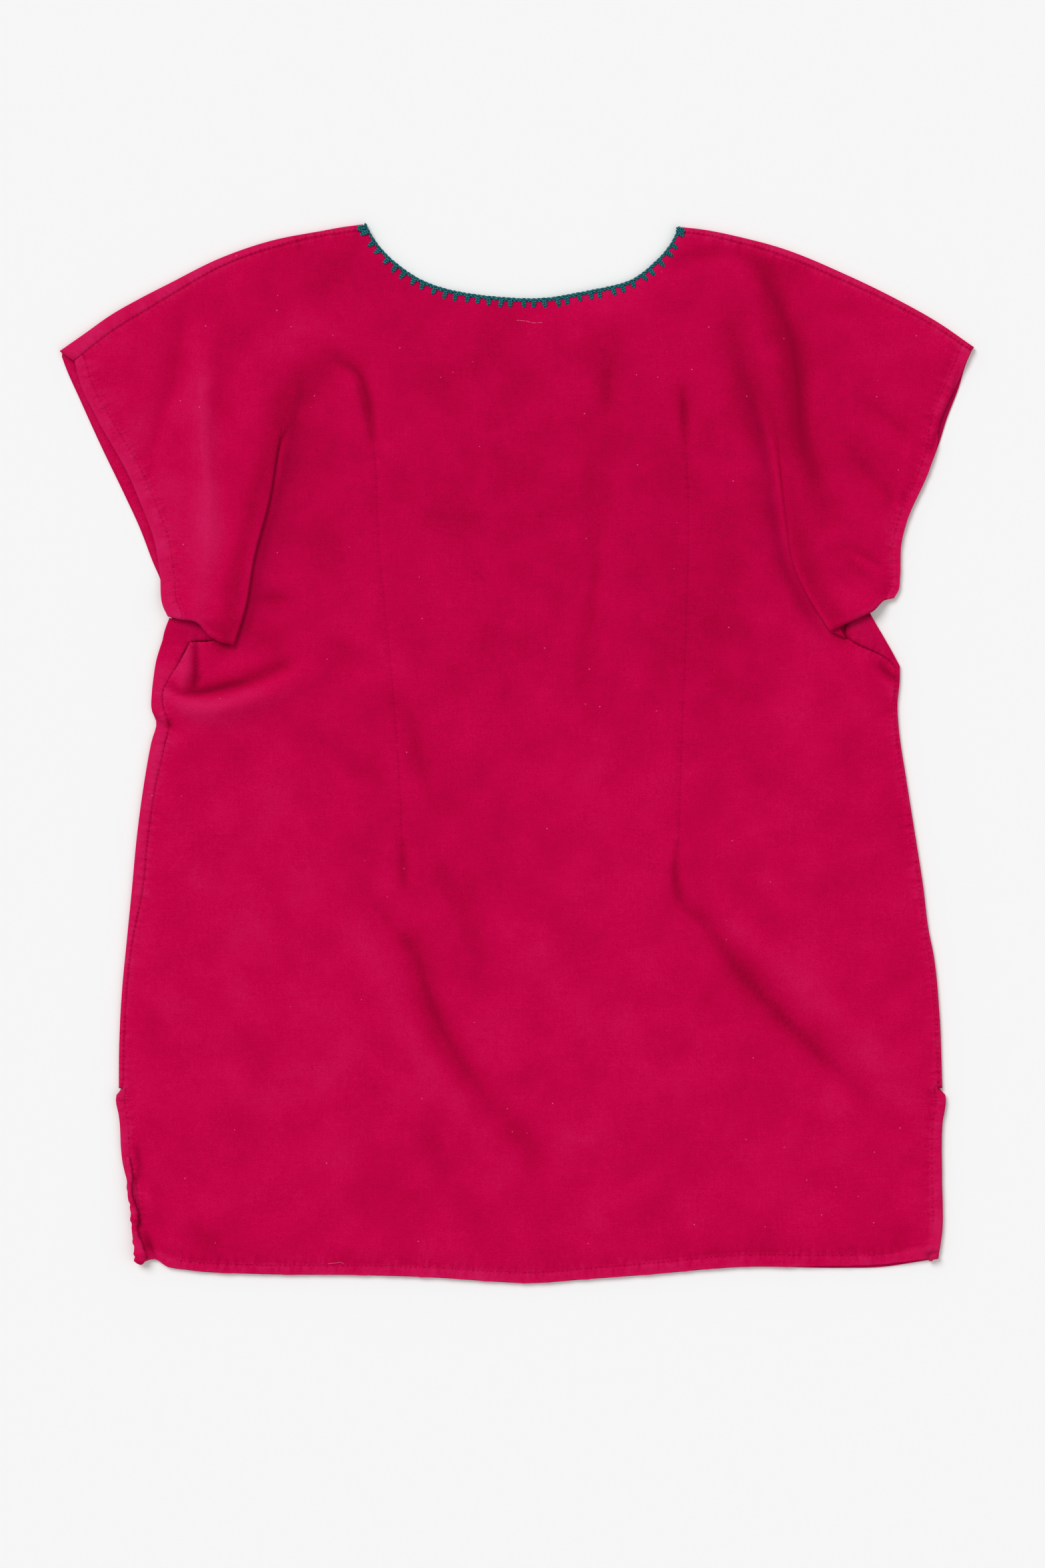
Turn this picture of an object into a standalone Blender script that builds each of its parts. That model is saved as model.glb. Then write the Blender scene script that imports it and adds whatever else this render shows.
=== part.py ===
"""A short-sleeved cotton blouse with a scoop neck, laid flat and face down.

The back lies on the front, whose side and shoulder edges roll round onto the back as far as the seams.
Tables and lengths are in millimetres and become metres when a mesh is made. +X is to the right,
+Y towards the neck, +Z up, and the origin is below the middle of the garment, on the surface it lies on.
"""

import bmesh
import bpy
import numpy as np

MM = 0.001

# Cloth
WALL = 1.2
GAP = 0.3
ROLL = 1.5  # radius of the edges that roll round onto the back
FRONT_LEVEL = WALL / 2  # height of the middle of the front's wall
BACK_LEVEL = FRONT_LEVEL + WALL + GAP
SEAM_LEVEL = FRONT_LEVEL + 2 * ROLL
ROLL_REACH = ROLL + WALL / 2  # from the outline to where a rolled edge lies flat

# Underarm pleats: the sleeve laps over the body in three layers
TURN = 1.1  # radius of each turn of a pleat
PLEAT_LIFT = 4 * TURN
SLACK_OUT = 20.0  # where a pleat has faded, its columns spread this far onto the sleeve
SLACK_IN = 8.0  # and this far onto the body

# Soft relief of the back
PUFF = 1.7
SEAM_REACH = 15.0
PLEAT_REACH = 28.0
SLEEVE_REACH = 30.0
HEM_REACH = 20.0
LOW_EDGE_REACH = 26.0
LOW_EDGE_LIFT = 0.8  # share of the pleat's lift along the sleeve's lower edge

# Neck edging
THREAD = 1.3  # radius of the purl along the back neck
THIN_THREAD = 0.9  # and round the front

# Segments of the grids
ARM_ROWS = 4
SIDE_ROWS = 22
VENT_ROWS = 6
SLEEVE_ROWS = 20
SHOULDER_COLUMNS = 16
NECK_COLUMNS = 17

# Sleeve hems, from the underarm up: x, y
BACK_CUFF_LEFT = [(-225, 88), (-228, 94), (-230.5, 116), (-234, 137), (-242, 159), (-251, 180),
                  (-270, 214), (-282, 239), (-285.5, 253)]
FRONT_CUFF_LEFT = [(-225, 88), (-228, 94), (-230, 111), (-235, 123), (-243, 144), (-254, 168),
                   (-268, 197), (-283, 230), (-291, 248), (-295, 259)]
BACK_CUFF_RIGHT = [(243, 100), (246, 105), (247, 114), (248, 136), (251, 148), (266, 183),
                   (271, 199), (272, 209), (281, 232), (288, 248), (293, 260)]
FRONT_CUFF_RIGHT = [(243, 100), (246, 105), (247, 114), (248, 136), (251, 148), (266, 183),
                    (272, 199), (277, 215), (285, 236), (290, 252), (294, 261)]

# Shoulders, from the sleeve hem to the neck: x and y of the rolled edge, x and y of the seam
SHOULDER_LEFT = [(-295.4, 259.5, -286, 253), (-279, 271, -274, 263), (-262, 283, -259, 274),
                 (-243.5, 293.5, -241, 285), (-224, 303.5, -221, 297), (-193, 319, -191, 314),
                 (-158, 331, -157, 326.5), (-127, 337, -126.5, 334), (-110, 340, -110, 336.5),
                 (-99.6, 341.3, -99.4, 337.5)]
SHOULDER_RIGHT = [(295, 262, 293, 259.5), (271, 278.5, 269.5, 275.5), (246, 292.5, 244.5, 289),
                  (211, 309.5, 209.5, 305.5), (169, 326.5, 168, 322.5), (144.5, 333, 144, 329.5),
                  (120, 338, 119.5, 335), (106, 339.6, 105.8, 336.5)]

# Neck openings, left to right, at the outer side of the edging: x, y
BACK_NECK = [(-95.9, 340.5), (-90.5, 331), (-84.5, 323.5), (-75, 315), (-65, 308), (-53, 302.5),
             (-38, 298.5), (-22, 296), (-5.5, 294.5), (12.5, 294), (24, 295), (37.5, 297.5),
             (50.5, 300), (64, 303), (72, 305.5), (80, 310.5), (88, 317.5), (95, 325), (99, 331),
             (102.5, 338.5)]
FRONT_NECK = [(-95.9, 340.5), (-93.5, 325), (-88, 303), (-76, 279), (-55, 257), (-26, 243),
              (3, 239), (32, 243), (60, 257), (82, 279), (95, 303), (100.5, 325), (102.5, 338.5)]

# Underarms: x and y of the rolled edge, x and y of the seam, bow of the row under the sleeve
ARM_LEFT = [(-224.5, 87.5, -193.8, 74.5, 10), (-226.3, 83, -198.5, 72.6, 5), (-227.5, 79.5, -203, 72.4, 2),
            (-228.3, 76.5, -207, 72.3, 1), (-229, 73, -211, 72, 0)]
ARM_RIGHT = [(227.5, 91, 212.5, 75.5, 7), (232, 83, 219.7, 70, 3), (235.5, 77, 229, 66, 1),
             (240, 69, 238, 61.5, 0), (247, 56.5, 244.4, 55, 0)]

# Side seams, from the underarm to the top of the vent: x and y of the rolled edge, x and y of the seam
SIDE_LEFT = [(-229, 73, -211, 72), (-233, 60, -217, 60), (-235, 47.5, -226, 46), (-236, 38, -229, 38),
             (-236, 28, -228, 28), (-233, 20.5, -225, 18), (-236, 8, -227.5, 5), (-241.5, -23, -234, -24),
             (-245.5, -53, -238, -53), (-249, -90, -242, -90), (-252.5, -125, -249, -125),
             (-255, -151, -252, -151), (-257, -190, -254, -190), (-257.2, -216, -254.5, -216)]
SIDE_RIGHT = [(247, 56.5, 244.4, 55), (247, 48, 244.4, 47), (245.5, 30, 243, 30), (246.5, 15, 244, 15),
              (251, -15.5, 248.5, -15.5), (256.5, -50, 254, -50), (262, -85, 259.5, -85),
              (266, -116, 263.5, -116), (268.5, -128, 266, -128), (272.5, -166, 270, -166),
              (274.5, -216, 272, -216)]

# Side vents, from the end of the seam to the corner: x, y
VENT_LEFT = [(-257.6, -217), (-258.8, -223), (-257, -233), (-254.5, -264), (-250.5, -281), (-249, -298),
             (-247, -318), (-243, -328.5)]
VENT_RIGHT = [(275.5, -217), (276.4, -222), (274.3, -239), (274, -273), (274, -310), (271.5, -326)]

# Hem, left to right: x, y
HEM = [(-243, -328.5), (-233, -326.5), (-226, -331), (-212, -333.5), (-167, -336), (-98, -336.8),
       (-50, -338.5), (-14, -341), (5, -341.9), (46, -339.3), (86, -336.3), (145, -331.5), (209, -332),
       (234, -331.5), (262, -327.5), (271.5, -326)]

# Lower edges of the sleeves, from the hem's corner to the tip of the pleat: x, y
LOW_EDGE_LEFT = [(-225, 88), (-218, 86.5), (-205.5, 84.3), (-197, 76), (-190.5, 72)]
LOW_EDGE_RIGHT = [(243, 100), (236, 98.5), (227.5, 91.5), (219.7, 88), (207, 83)]

# Underarm pleats, from the tip up to the shoulder: x and y of the fold, depth, fullness
PLEAT_LEFT = [(-183, 69.7, 7.5, 1), (-175.5, 94, 8.5, 1), (-170, 126, 8.5, 1), (-159, 166, 7, 1),
              (-152, 195, 5, 1), (-145.5, 215, 3, 0.85), (-142, 236, 1.5, 0.5), (-141, 271, 0, 0.2),
              (-140, 301, 0, 0.08), (-139, 330, 0, 0)]
PLEAT_RIGHT = [(202, 78.5, 7, 1), (188.5, 100, 8.5, 1), (178, 121, 8.5, 1), (172, 150, 7.5, 1),
               (166.5, 186, 6, 1), (162, 208, 4, 0.85), (156, 229, 2, 0.55), (149, 250, 0.5, 0.3),
               (144, 274, 0, 0.12), (141, 301, 0, 0.05), (140, 330, 0, 0)]
TIP_RISE_LEFT = (2.1, 2.1)  # how far the sleeve's layer and the one under it run up from the tip
TIP_RISE_RIGHT = (4.7, -4.5)

# Lines that the back's columns follow, from the underarm up: x, y
DART_LEFT = [(-83, 72.4), (-90, 125), (-91.5, 201), (-98, 236), (-112, 262), (-114, 336.5)]
DART_RIGHT = [(109, 73.4), (110.5, 160), (109, 201), (108, 240), (114, 290), (123, 334.5)]

# Largest folds of the back: half width, height, and x, y of the start, the middle and the end
FOLDS = [
    (13, -1.0, -192, 307, -217, 276, -238, 177),
    (12, 1.9, -200, 256, -202, 186, -204, 103),
    (10, -1.0, -190, 258, -188, 243, -190, 203),
    (11, -2.2, 162, 309, 181, 219, 200, 150),
    (12, -1.1, 226, 227, 242, 213, 258, 199),
    (12, -1.0, 212, 129, 224, 121, 236, 114),
    (10, -1.0, 96, 310, 111, 318, 125, 322),
    (8, -1.2, -224, 46, -192, 42, -146, 58),
    (10, 2.4, -221, 36, -187, 34, -136, 52),
    (7, 2.6, -214, 66, -215, 56, -217, 46),
    (11, -1.2, -138, 7, -111, -5, -86, -22),
    (10, -1.0, -73, 78, -67, 62, -60, 46),
    (10, -1.0, -72, 27, -64, 0, -57, -27),
    (12, -1.9, -99, -89, -52, -169, 14, -269),
    (11, 1.2, -112, -110, -72, -178, -10, -272),
    (10, -1.0, -47, -77, -30, -116, -20, -153),
    (11, -1.0, -55, -240, -32, -296, -18, -323),
    (12, -1.0, -92, -237, -94, -267, -96, -296),
    (11, -1.3, 52, 170, 49, 104, 43, 39),
    (10, -1.0, 60, 256, 58, 236, 57, 217),
    (11, -2.2, 105, -96, 161, -159, 246, -240),
    (12, 1.6, 122, -86, 180, -148, 256, -218),
    (7, -1.2, -92, 200, -86, 72, -75, -70),
    (7, -1.2, 109, 230, 109, 72, 104, -80),
]


def follow(points, fractions):
    """The points at these fractions of the length of a smooth curve through the given ones."""
    rows = np.array(points, float)
    steps = np.linalg.norm(np.diff(rows[:, :2], axis=0), axis=1)
    knots = np.concatenate([[0], np.cumsum(steps)]) / steps.sum()
    slopes = np.gradient(rows, knots, axis=0)
    at = np.clip(fractions, 0, 1)
    i = np.clip(np.searchsorted(knots, at, side="right") - 1, 0, len(knots) - 2)
    span = (knots[i + 1] - knots[i])[:, None]
    u = (at - knots[i])[:, None] / span
    return (
        rows[i] * (2 * u**3 - 3 * u**2 + 1)
        + rows[i + 1] * (3 * u**2 - 2 * u**3)
        + slopes[i] * span * (u**3 - 2 * u**2 + u)
        + slopes[i + 1] * span * (u**3 - u**2)
    )


def evenly(points, segments):
    return follow(points, np.linspace(0, 1, segments + 1))


def between(start, end, segments):
    """Points on a straight line, both ends included."""
    share = np.linspace(0, 1, segments + 1)[:, None]
    return np.array(start) * (1 - share) + np.array(end) * share


def length_fractions(line):
    reached = np.concatenate([[0], np.cumsum(np.linalg.norm(np.diff(line[:, :2], axis=0), axis=1))])
    return reached / reached[-1]


def patch(left, right, bottom, top):
    """A grid of points, a row from each point of left to one of right, that fits all four borders."""
    across = length_fractions(top)[None, :, None]
    up = np.linspace(0, 1, len(left))[:, None, None]
    left, right = left[:, None], right[:, None]
    bottom, top = bottom[None], top[None]
    rows = left * (1 - across) + right * across
    low = bottom - (bottom[:, :1] * (1 - across) + bottom[:, -1:] * across)
    high = top - (top[:, :1] * (1 - across) + top[:, -1:] * across)
    return rows + low * (1 - up) + high * up


def smoothstep(value):
    value = np.clip(value, 0, 1)
    return value * value * (3 - 2 * value)


def nearest(points, line):
    """Each point's distance to a line of points, and the index along it, with its part of a step."""
    start, step = line[:-1, :2], np.diff(line[:, :2], axis=0)
    offset = points[:, None, :2] - start[None]
    share = np.clip((offset * step).sum(2) / (step * step).sum(1), 0, 1)
    distance = np.linalg.norm(offset - share[..., None] * step, axis=2)
    best = distance.argmin(1)
    own = np.arange(len(points))
    return distance[own, best], best + share[own, best]


def influence(points, line, strengths, reach):
    """How strongly a line acts on each point: its strength there, falling to 0 at its reach."""
    distance, index = nearest(points, line)
    return np.interp(index, np.arange(len(line)), strengths) * (1 - smoothstep(distance / reach))


def stronger(first, *others):
    for other in others:
        first = np.maximum(first, other)
    return first


def seam_lines():
    """Each seam of the back and its strength along it: 0 where it is no higher than the cloth."""
    rising = np.linspace(0, 1, ARM_ROWS + 1)
    ones = np.ones(SIDE_ROWS + 1)
    for arm, side in ((ARM_LEFT, SIDE_LEFT), (ARM_RIGHT, SIDE_RIGHT)):
        yield evenly(arm, ARM_ROWS)[:, 2:4], rising
        yield evenly(side, SIDE_ROWS)[:, 2:4], ones
    for shoulder in (SHOULDER_LEFT, SHOULDER_RIGHT):
        yield evenly(shoulder, SHOULDER_COLUMNS)[:, 2:4], np.ones(SHOULDER_COLUMNS + 1)


def pleat_lines():
    """The inner fold of each underarm pleat, and its fullness along it."""
    for table, side in ((PLEAT_LEFT, -1), (PLEAT_RIGHT, 1)):
        rows = evenly(table, SLEEVE_ROWS)
        inner = rows[:, :2] + np.outer(rows[:, 2], (side, 0))
        yield inner, rows[:, 3]


def folds_at(points):
    """Height of the folds at each point, over the cloth's puffed level."""
    height = np.full(len(points), PUFF)
    for half_width, fold_height, *ends in FOLDS:
        line = evenly(np.reshape(ends, (3, 2)), 12)
        distance, index = nearest(points, line)
        taper = np.sin(np.pi * np.clip(0.12 + 0.76 * index / 12, 0, 1))
        height += fold_height * taper * np.exp(-((distance / half_width) ** 2))
    return np.maximum(height, 0)


def sheet_height(points, held):
    """Height of the back at each point, where `held` says how firmly a pleat keeps it down."""
    seams = stronger(*(influence(points, line, strength, SEAM_REACH) for line, strength in seam_lines()))
    edges = (VENT_LEFT, VENT_RIGHT, HEM, BACK_NECK, BACK_CUFF_LEFT, BACK_CUFF_RIGHT)
    free = stronger(*(influence(points, evenly(edge, 24), np.ones(25), HEM_REACH) for edge in edges))
    loose = (1 - held) * (1 - seams) * (1 - 0.8 * free)
    return BACK_LEVEL + folds_at(points) * loose + (SEAM_LEVEL - BACK_LEVEL) * seams


def body_height(points):
    held = stronger(*(influence(points, line, full, PLEAT_REACH) for line, full in pleat_lines()))
    return sheet_height(points, held)


def sleeve_height(points, side):
    """Height of the sleeve on one side, which climbs to its pleat and to its lower edge."""
    pleat, full = list(pleat_lines())[side]
    low_edge = evenly((LOW_EDGE_LEFT, LOW_EDGE_RIGHT)[side], 12)
    fading = np.ones(13) if side == 0 else smoothstep(np.linspace(0, 3, 13))
    climb = influence(points, pleat, full, SLEEVE_REACH)
    lap = influence(points, low_edge, LOW_EDGE_LIFT * fading, LOW_EDGE_REACH)
    return sheet_height(points, climb) + PLEAT_LIFT * (1 - (1 - climb) * (1 - lap))


def pleat_section(depth):
    """x and height of a full pleat's section, from the sleeve's layer to the body's, and x = 0 at its fold."""
    turn = np.radians([90, 45, 0, -45, -90])
    outer = np.stack([TURN * np.cos(turn) - TURN, TURN * np.sin(turn) + 3 * TURN], 1)
    inner = np.stack([-TURN * np.cos(turn) - TURN - depth, TURN * np.sin(turn) + TURN], 1)
    start = np.array([[-TURN - depth - 0.5, 4 * TURN]])
    return np.concatenate([start, outer, inner])


def pleat_grid(table, side, seam, tip_rise):
    """Points of an underarm pleat, a row at a time, from its sleeve side to its body side."""
    rows = evenly(table, SLEEVE_ROWS)
    count = len(pleat_section(0))
    spread = np.linspace(-SLACK_OUT, SLACK_IN, count)
    top_x = rows[-1, 0] + side * spread
    top_rise = np.interp(top_x, seam[:, 0], seam[:, 1]) - GAP - rows[-1, 1]
    grid = []
    for share, (x, y, depth, full) in zip(np.linspace(0, 1, len(rows)), rows):
        section = pleat_section(depth)
        across = side * (full * section[:, 0] + (1 - full) * spread)
        back_share = np.clip(-section[:, 0] / (depth + 2 * TURN), 0, 1)
        rise = np.where(np.arange(count) < 4, tip_rise[0], tip_rise[1]) * back_share
        rise = rise * (1 - share) ** 6 + top_rise * share
        points = np.stack([x + across, y + rise], 1)
        faded = sheet_height(points, np.full(count, full))
        height = full * (BACK_LEVEL + section[:, 1]) + (1 - full) * faded
        grid.append(np.column_stack([points, height]))
    return np.array(grid)


def with_height(grid, height, *rest):
    flat = grid.reshape(-1, 2)
    return np.column_stack([flat, height(flat, *rest)]).reshape(*grid.shape[:2], 3)


def aside(line, distance):
    """The line moved this far to the left of the way it runs, in plan."""
    along = np.gradient(line[:, :2], axis=0)
    along /= np.linalg.norm(along, axis=1)[:, None]
    moved = line.copy()
    moved[:, 0] -= distance * along[:, 1]
    moved[:, 1] += distance * along[:, 0]
    return moved


def neck_edge(table, thread, segments):
    """The cloth's edge under the edging whose outer side is in the table."""
    return aside(evenly(table, segments), -(2 * thread + GAP))


def back_upper():
    """Grid of the sleeves and the yoke, from the underarms up."""
    seam_left = evenly(SHOULDER_LEFT, 40)[:, 2:4]
    seam_right = evenly(SHOULDER_RIGHT, 40)[::-1, 2:4]
    pleat_left = pleat_grid(PLEAT_LEFT, 1, seam_left, TIP_RISE_LEFT)
    pleat_right = pleat_grid(PLEAT_RIGHT, -1, seam_right, TIP_RISE_RIGHT)[:, ::-1]

    def on_seam(seam, start, end, segments):
        x = np.linspace(start, end, segments + 1)
        return np.column_stack([x, np.interp(x, seam[:, 0], seam[:, 1]) - GAP])

    cuff_left = evenly(BACK_CUFF_LEFT, SLEEVE_ROWS)
    cuff_right = evenly(BACK_CUFF_RIGHT, SLEEVE_ROWS)
    dart_left = evenly(DART_LEFT, SLEEVE_ROWS)
    dart_right = evenly(DART_RIGHT, SLEEVE_ROWS)
    neck = neck_edge(BACK_NECK, THREAD, NECK_COLUMNS)

    top = on_seam(seam_left, cuff_left[-1, 0], pleat_left[-1, 0, 0], 8)
    low = follow(LOW_EDGE_LEFT, length_fractions(top))
    low += np.outer(length_fractions(top), pleat_left[0, 0, :2] - low[-1])
    cuff_left[-1] = top[0]
    sleeve_left = patch(cuff_left, pleat_left[:, 0, :2], low, top)

    top = on_seam(seam_left, pleat_left[-1, -1, 0], dart_left[-1, 0], 2)
    low = between(pleat_left[0, -1, :2], dart_left[0], 2)
    ending = np.linspace(0, 1, SLEEVE_ROWS + 1) ** 3
    dart_left = dart_left + np.outer(ending, top[-1] - dart_left[-1])
    side_left = patch(pleat_left[:, -1, :2], dart_left, low, top)

    shoulder = on_seam(seam_left, dart_left[-1, 0], neck[0, 0] - 1.5, 2)
    shoulder_right = on_seam(seam_right, neck[-1, 0] + 1.5, dart_right[-1, 0], 2)
    dart_right = dart_right + np.outer(ending, shoulder_right[-1] - dart_right[-1])
    top = np.concatenate([shoulder, neck[1:-1], shoulder_right])
    low = dart_left[0] + np.outer(length_fractions(top), dart_right[0] - dart_left[0])
    yoke = patch(dart_left, dart_right, low, top)

    top = on_seam(seam_right, dart_right[-1, 0], pleat_right[-1, 0, 0], 2)
    low = between(dart_right[0], pleat_right[0, 0, :2], 2)
    side_right = patch(dart_right, pleat_right[:, 0, :2], low, top)

    top = on_seam(seam_right, pleat_right[-1, -1, 0], cuff_right[-1, 0], 9)
    low = follow(LOW_EDGE_RIGHT[::-1], length_fractions(top))
    low += np.outer(1 - length_fractions(top), pleat_right[0, -1, :2] - low[0])
    cuff_right[-1] = top[-1]
    sleeve_right = patch(pleat_right[:, -1, :2], cuff_right, low, top)

    blocks = [
        with_height(sleeve_left, sleeve_height, 0)[:, :-1],
        pleat_left,
        with_height(side_left, body_height)[:, 1:-1],
        with_height(yoke, body_height),
        with_height(side_right, body_height)[:, 1:-1],
        pleat_right,
        with_height(sleeve_right, sleeve_height, 1)[:, 1:],
    ]
    first = blocks[0].shape[1] + pleat_left.shape[1] - 1
    last = sum(block.shape[1] for block in blocks[:5])
    return np.concatenate(blocks, axis=1), first, last


def back_lower(top_row):
    """Grid of the body, from the underarms down, and how many of its columns lie outside the pleats."""
    arm_left = aside(evenly(ARM_LEFT, ARM_ROWS)[:, 2:4], -GAP / 2)[::-1]
    arm_right = aside(evenly(ARM_RIGHT, ARM_ROWS)[:, 2:4], -GAP / 2)
    arm_left[-1] = top_row[0, :2]
    arm_right[0] = top_row[-1, :2]
    side_left = aside(evenly(SIDE_LEFT, SIDE_ROWS)[:, 2:4], GAP / 2)
    side_right = aside(evenly(SIDE_RIGHT, SIDE_ROWS)[:, 2:4], -GAP / 2)
    arm_left[0] = side_left[0]
    arm_left[1:-1, 1] -= 0.6
    arm_right[-1] = side_right[0]
    left = np.concatenate([side_left, evenly(VENT_LEFT, VENT_ROWS)[1:]])
    right = np.concatenate([side_right, evenly(VENT_RIGHT, VENT_ROWS)[1:]])
    top = np.concatenate([arm_left[:-1], top_row[:, :2], arm_right[1:]])
    hem = follow(HEM, length_fractions(top))
    grid = patch(left[::-1], right[::-1], hem, top)
    return with_height(grid, body_height)


class Weave:
    """The points and four-sided faces of one open sheet."""

    def __init__(self):
        self.points = []
        self.faces = []

    def lay(self, grid):
        """Adds a grid of points, and gives their numbers in the same layout."""
        flat = np.reshape(grid, (-1, 3))
        first = len(self.points)
        self.points.extend(flat.tolist())
        return np.arange(first, first + len(flat)).reshape(np.shape(grid)[:-1])

    def join(self, numbers):
        """Faces between the rows of a layout, which run to the right and then up."""
        for low, high in zip(numbers[:-1], numbers[1:]):
            for corners in zip(low[:-1], low[1:], high[1:], high[:-1]):
                self.faces.append([int(corner) for corner in corners])


def build_back():
    weave = Weave()
    upper, first, last = back_upper()
    upper_numbers = weave.lay(upper)
    weave.join(upper_numbers)
    lower = back_lower(upper[0, first : last + 1])
    left, right = ARM_ROWS, ARM_ROWS + last - first
    body = weave.lay(lower[:-1])
    top = np.concatenate(
        [
            weave.lay(lower[-1, :left]),
            upper_numbers[0, first : last + 1],
            weave.lay(lower[-1, right + 1 :]),
        ]
    )
    weave.join(np.vstack([body, top]))
    return weave


def rolled_strip(sections, seam_levels, bows):
    """Rows of points from the flat front, up round the rolled edge and along to the seam."""
    edge, seam = sections[:, :2], sections[:, 2:4]
    width = np.linalg.norm(seam - edge, axis=1)
    inward = (seam - edge) / width[:, None]
    sideways = np.stack([-inward[:, 1], inward[:, 0]], 1)
    turn = np.radians([0, 45, 90, 135, 180])
    insets = [WALL / 2 + ROLL * (1 - np.sin(angle)) + 0 * width for angle in turn]
    heights = [FRONT_LEVEL + ROLL * (1 - np.cos(angle)) + 0 * width for angle in turn]
    offsets = [0 * width for angle in turn]
    end = width - GAP / 2
    for share in (1 / 3, 2 / 3, 1):
        insets.append(ROLL_REACH * (1 - share) + end * share)
        heights.append(SEAM_LEVEL * (1 - share) + seam_levels * share)
        offsets.append(bows * np.sin(np.pi * share))
    columns = [
        np.column_stack([edge + inward * inset[:, None] + sideways * offset[:, None], height])
        for inset, height, offset in zip(insets, heights, offsets)
    ]
    return np.stack(columns, 1)


def side_strip(arm, side, bow_side):
    sections = np.concatenate([evenly(arm, ARM_ROWS)[:, :4], evenly(side, SIDE_ROWS)[1:]])
    rising = np.linspace(0, 1, ARM_ROWS + 1)
    levels = np.concatenate([rising, np.ones(SIDE_ROWS)])
    levels = BACK_LEVEL + (SEAM_LEVEL - BACK_LEVEL) * levels
    bows = np.zeros(len(levels))
    bows[: ARM_ROWS + 1] = evenly(arm, ARM_ROWS)[:, 4] * bow_side
    return rolled_strip(sections, levels, bows)


def build_front():
    """The flat front, and its four rolled edges."""
    weave = Weave()
    left_strip = side_strip(ARM_LEFT, SIDE_LEFT, 1)
    right_strip = side_strip(ARM_RIGHT, SIDE_RIGHT, -1)
    level = np.full(SHOULDER_COLUMNS + 1, SEAM_LEVEL)
    shoulders = [
        rolled_strip(evenly(table, SHOULDER_COLUMNS), level, 0 * level)
        for table in (SHOULDER_LEFT, SHOULDER_RIGHT)
    ]
    neck = neck_edge(FRONT_NECK, THIN_THREAD, NECK_COLUMNS)

    left = np.concatenate([left_strip[:, 0, :2], evenly(VENT_LEFT, VENT_ROWS)[1:]])[::-1]
    right = np.concatenate([right_strip[:, 0, :2], evenly(VENT_RIGHT, VENT_ROWS)[1:]])[::-1]
    shoulder_left = shoulders[0][:, 0, :2]
    shoulder_right = shoulders[1][::-1, 0, :2]
    cuff_left = evenly(FRONT_CUFF_LEFT, 10)
    cuff_right = evenly(FRONT_CUFF_RIGHT, 10)
    cuff_left[0], cuff_left[-1] = left[-1], shoulder_left[0]
    cuff_right[-1] = shoulder_right[-1]
    top = np.concatenate([shoulder_left, neck[1:-1], shoulder_right])
    armpit = follow(LOW_EDGE_RIGHT[::-1], np.linspace(0.45, 1, 5))
    armpit[0] = right[-1]
    armpit[-1] = cuff_right[0]
    base = np.concatenate([between(left[-1], right[-1], len(top) - 5), armpit[1:]])
    upper = patch(cuff_left, cuff_right, base, top)
    upper[0] = base
    upper_numbers = weave.lay(np.dstack([upper, np.full(upper.shape[:2], FRONT_LEVEL)]))
    weave.join(upper_numbers)

    base = base[: len(top) - 4]
    hem = follow(HEM, length_fractions(base))
    lower = patch(left, right, hem, base)[:-1]
    body = weave.lay(np.dstack([lower, np.full(lower.shape[:2], FRONT_LEVEL)]))
    lower_numbers = np.vstack([body, upper_numbers[0, : len(base)]])
    weave.join(lower_numbers)

    start = VENT_ROWS
    for strip, column, turned in ((left_strip, 0, True), (right_strip, -1, False)):
        own = lower_numbers[start:, column][:, None]
        numbers = np.hstack([own, weave.lay(strip[::-1, 1:])])
        weave.join(numbers[:, ::-1] if turned else numbers)
    numbers = np.vstack([upper_numbers[-1, : SHOULDER_COLUMNS + 1], weave.lay(shoulders[0][:, 1:]).T])
    weave.join(numbers)
    numbers = np.vstack(
        [upper_numbers[-1, -SHOULDER_COLUMNS - 1 :], weave.lay(shoulders[1][::-1, 1:]).T]
    )
    weave.join(numbers)
    return weave


def make_panel(name, weave, colour, collection):
    """A panel as its middle surface, thickened to the wall."""
    mesh = bpy.data.meshes.new(name)
    shape = bmesh.new()
    corners = [shape.verts.new([value * MM for value in point]) for point in weave.points]
    for face in weave.faces:
        shape.faces.new([corners[number] for number in face])
    shape.to_mesh(mesh)
    shape.free()
    mesh.shade_smooth()
    panel = bpy.data.objects.new(name, mesh)
    collection.objects.link(panel)
    wall = panel.modifiers.new("Wall", "SOLIDIFY")
    wall.thickness = WALL * MM
    wall.offset = 0
    mesh.materials.append(cloth_material(name, colour, 0.9))
    return panel


def cloth_material(name, colour, roughness):
    material = bpy.data.materials.new(name)
    material.use_nodes = True
    shader = material.node_tree.nodes["Principled BSDF"]
    shader.inputs["Base Color"].default_value = (*colour, 1)
    shader.inputs["Roughness"].default_value = roughness
    shader.inputs["Metallic"].default_value = 0
    return material


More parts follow.
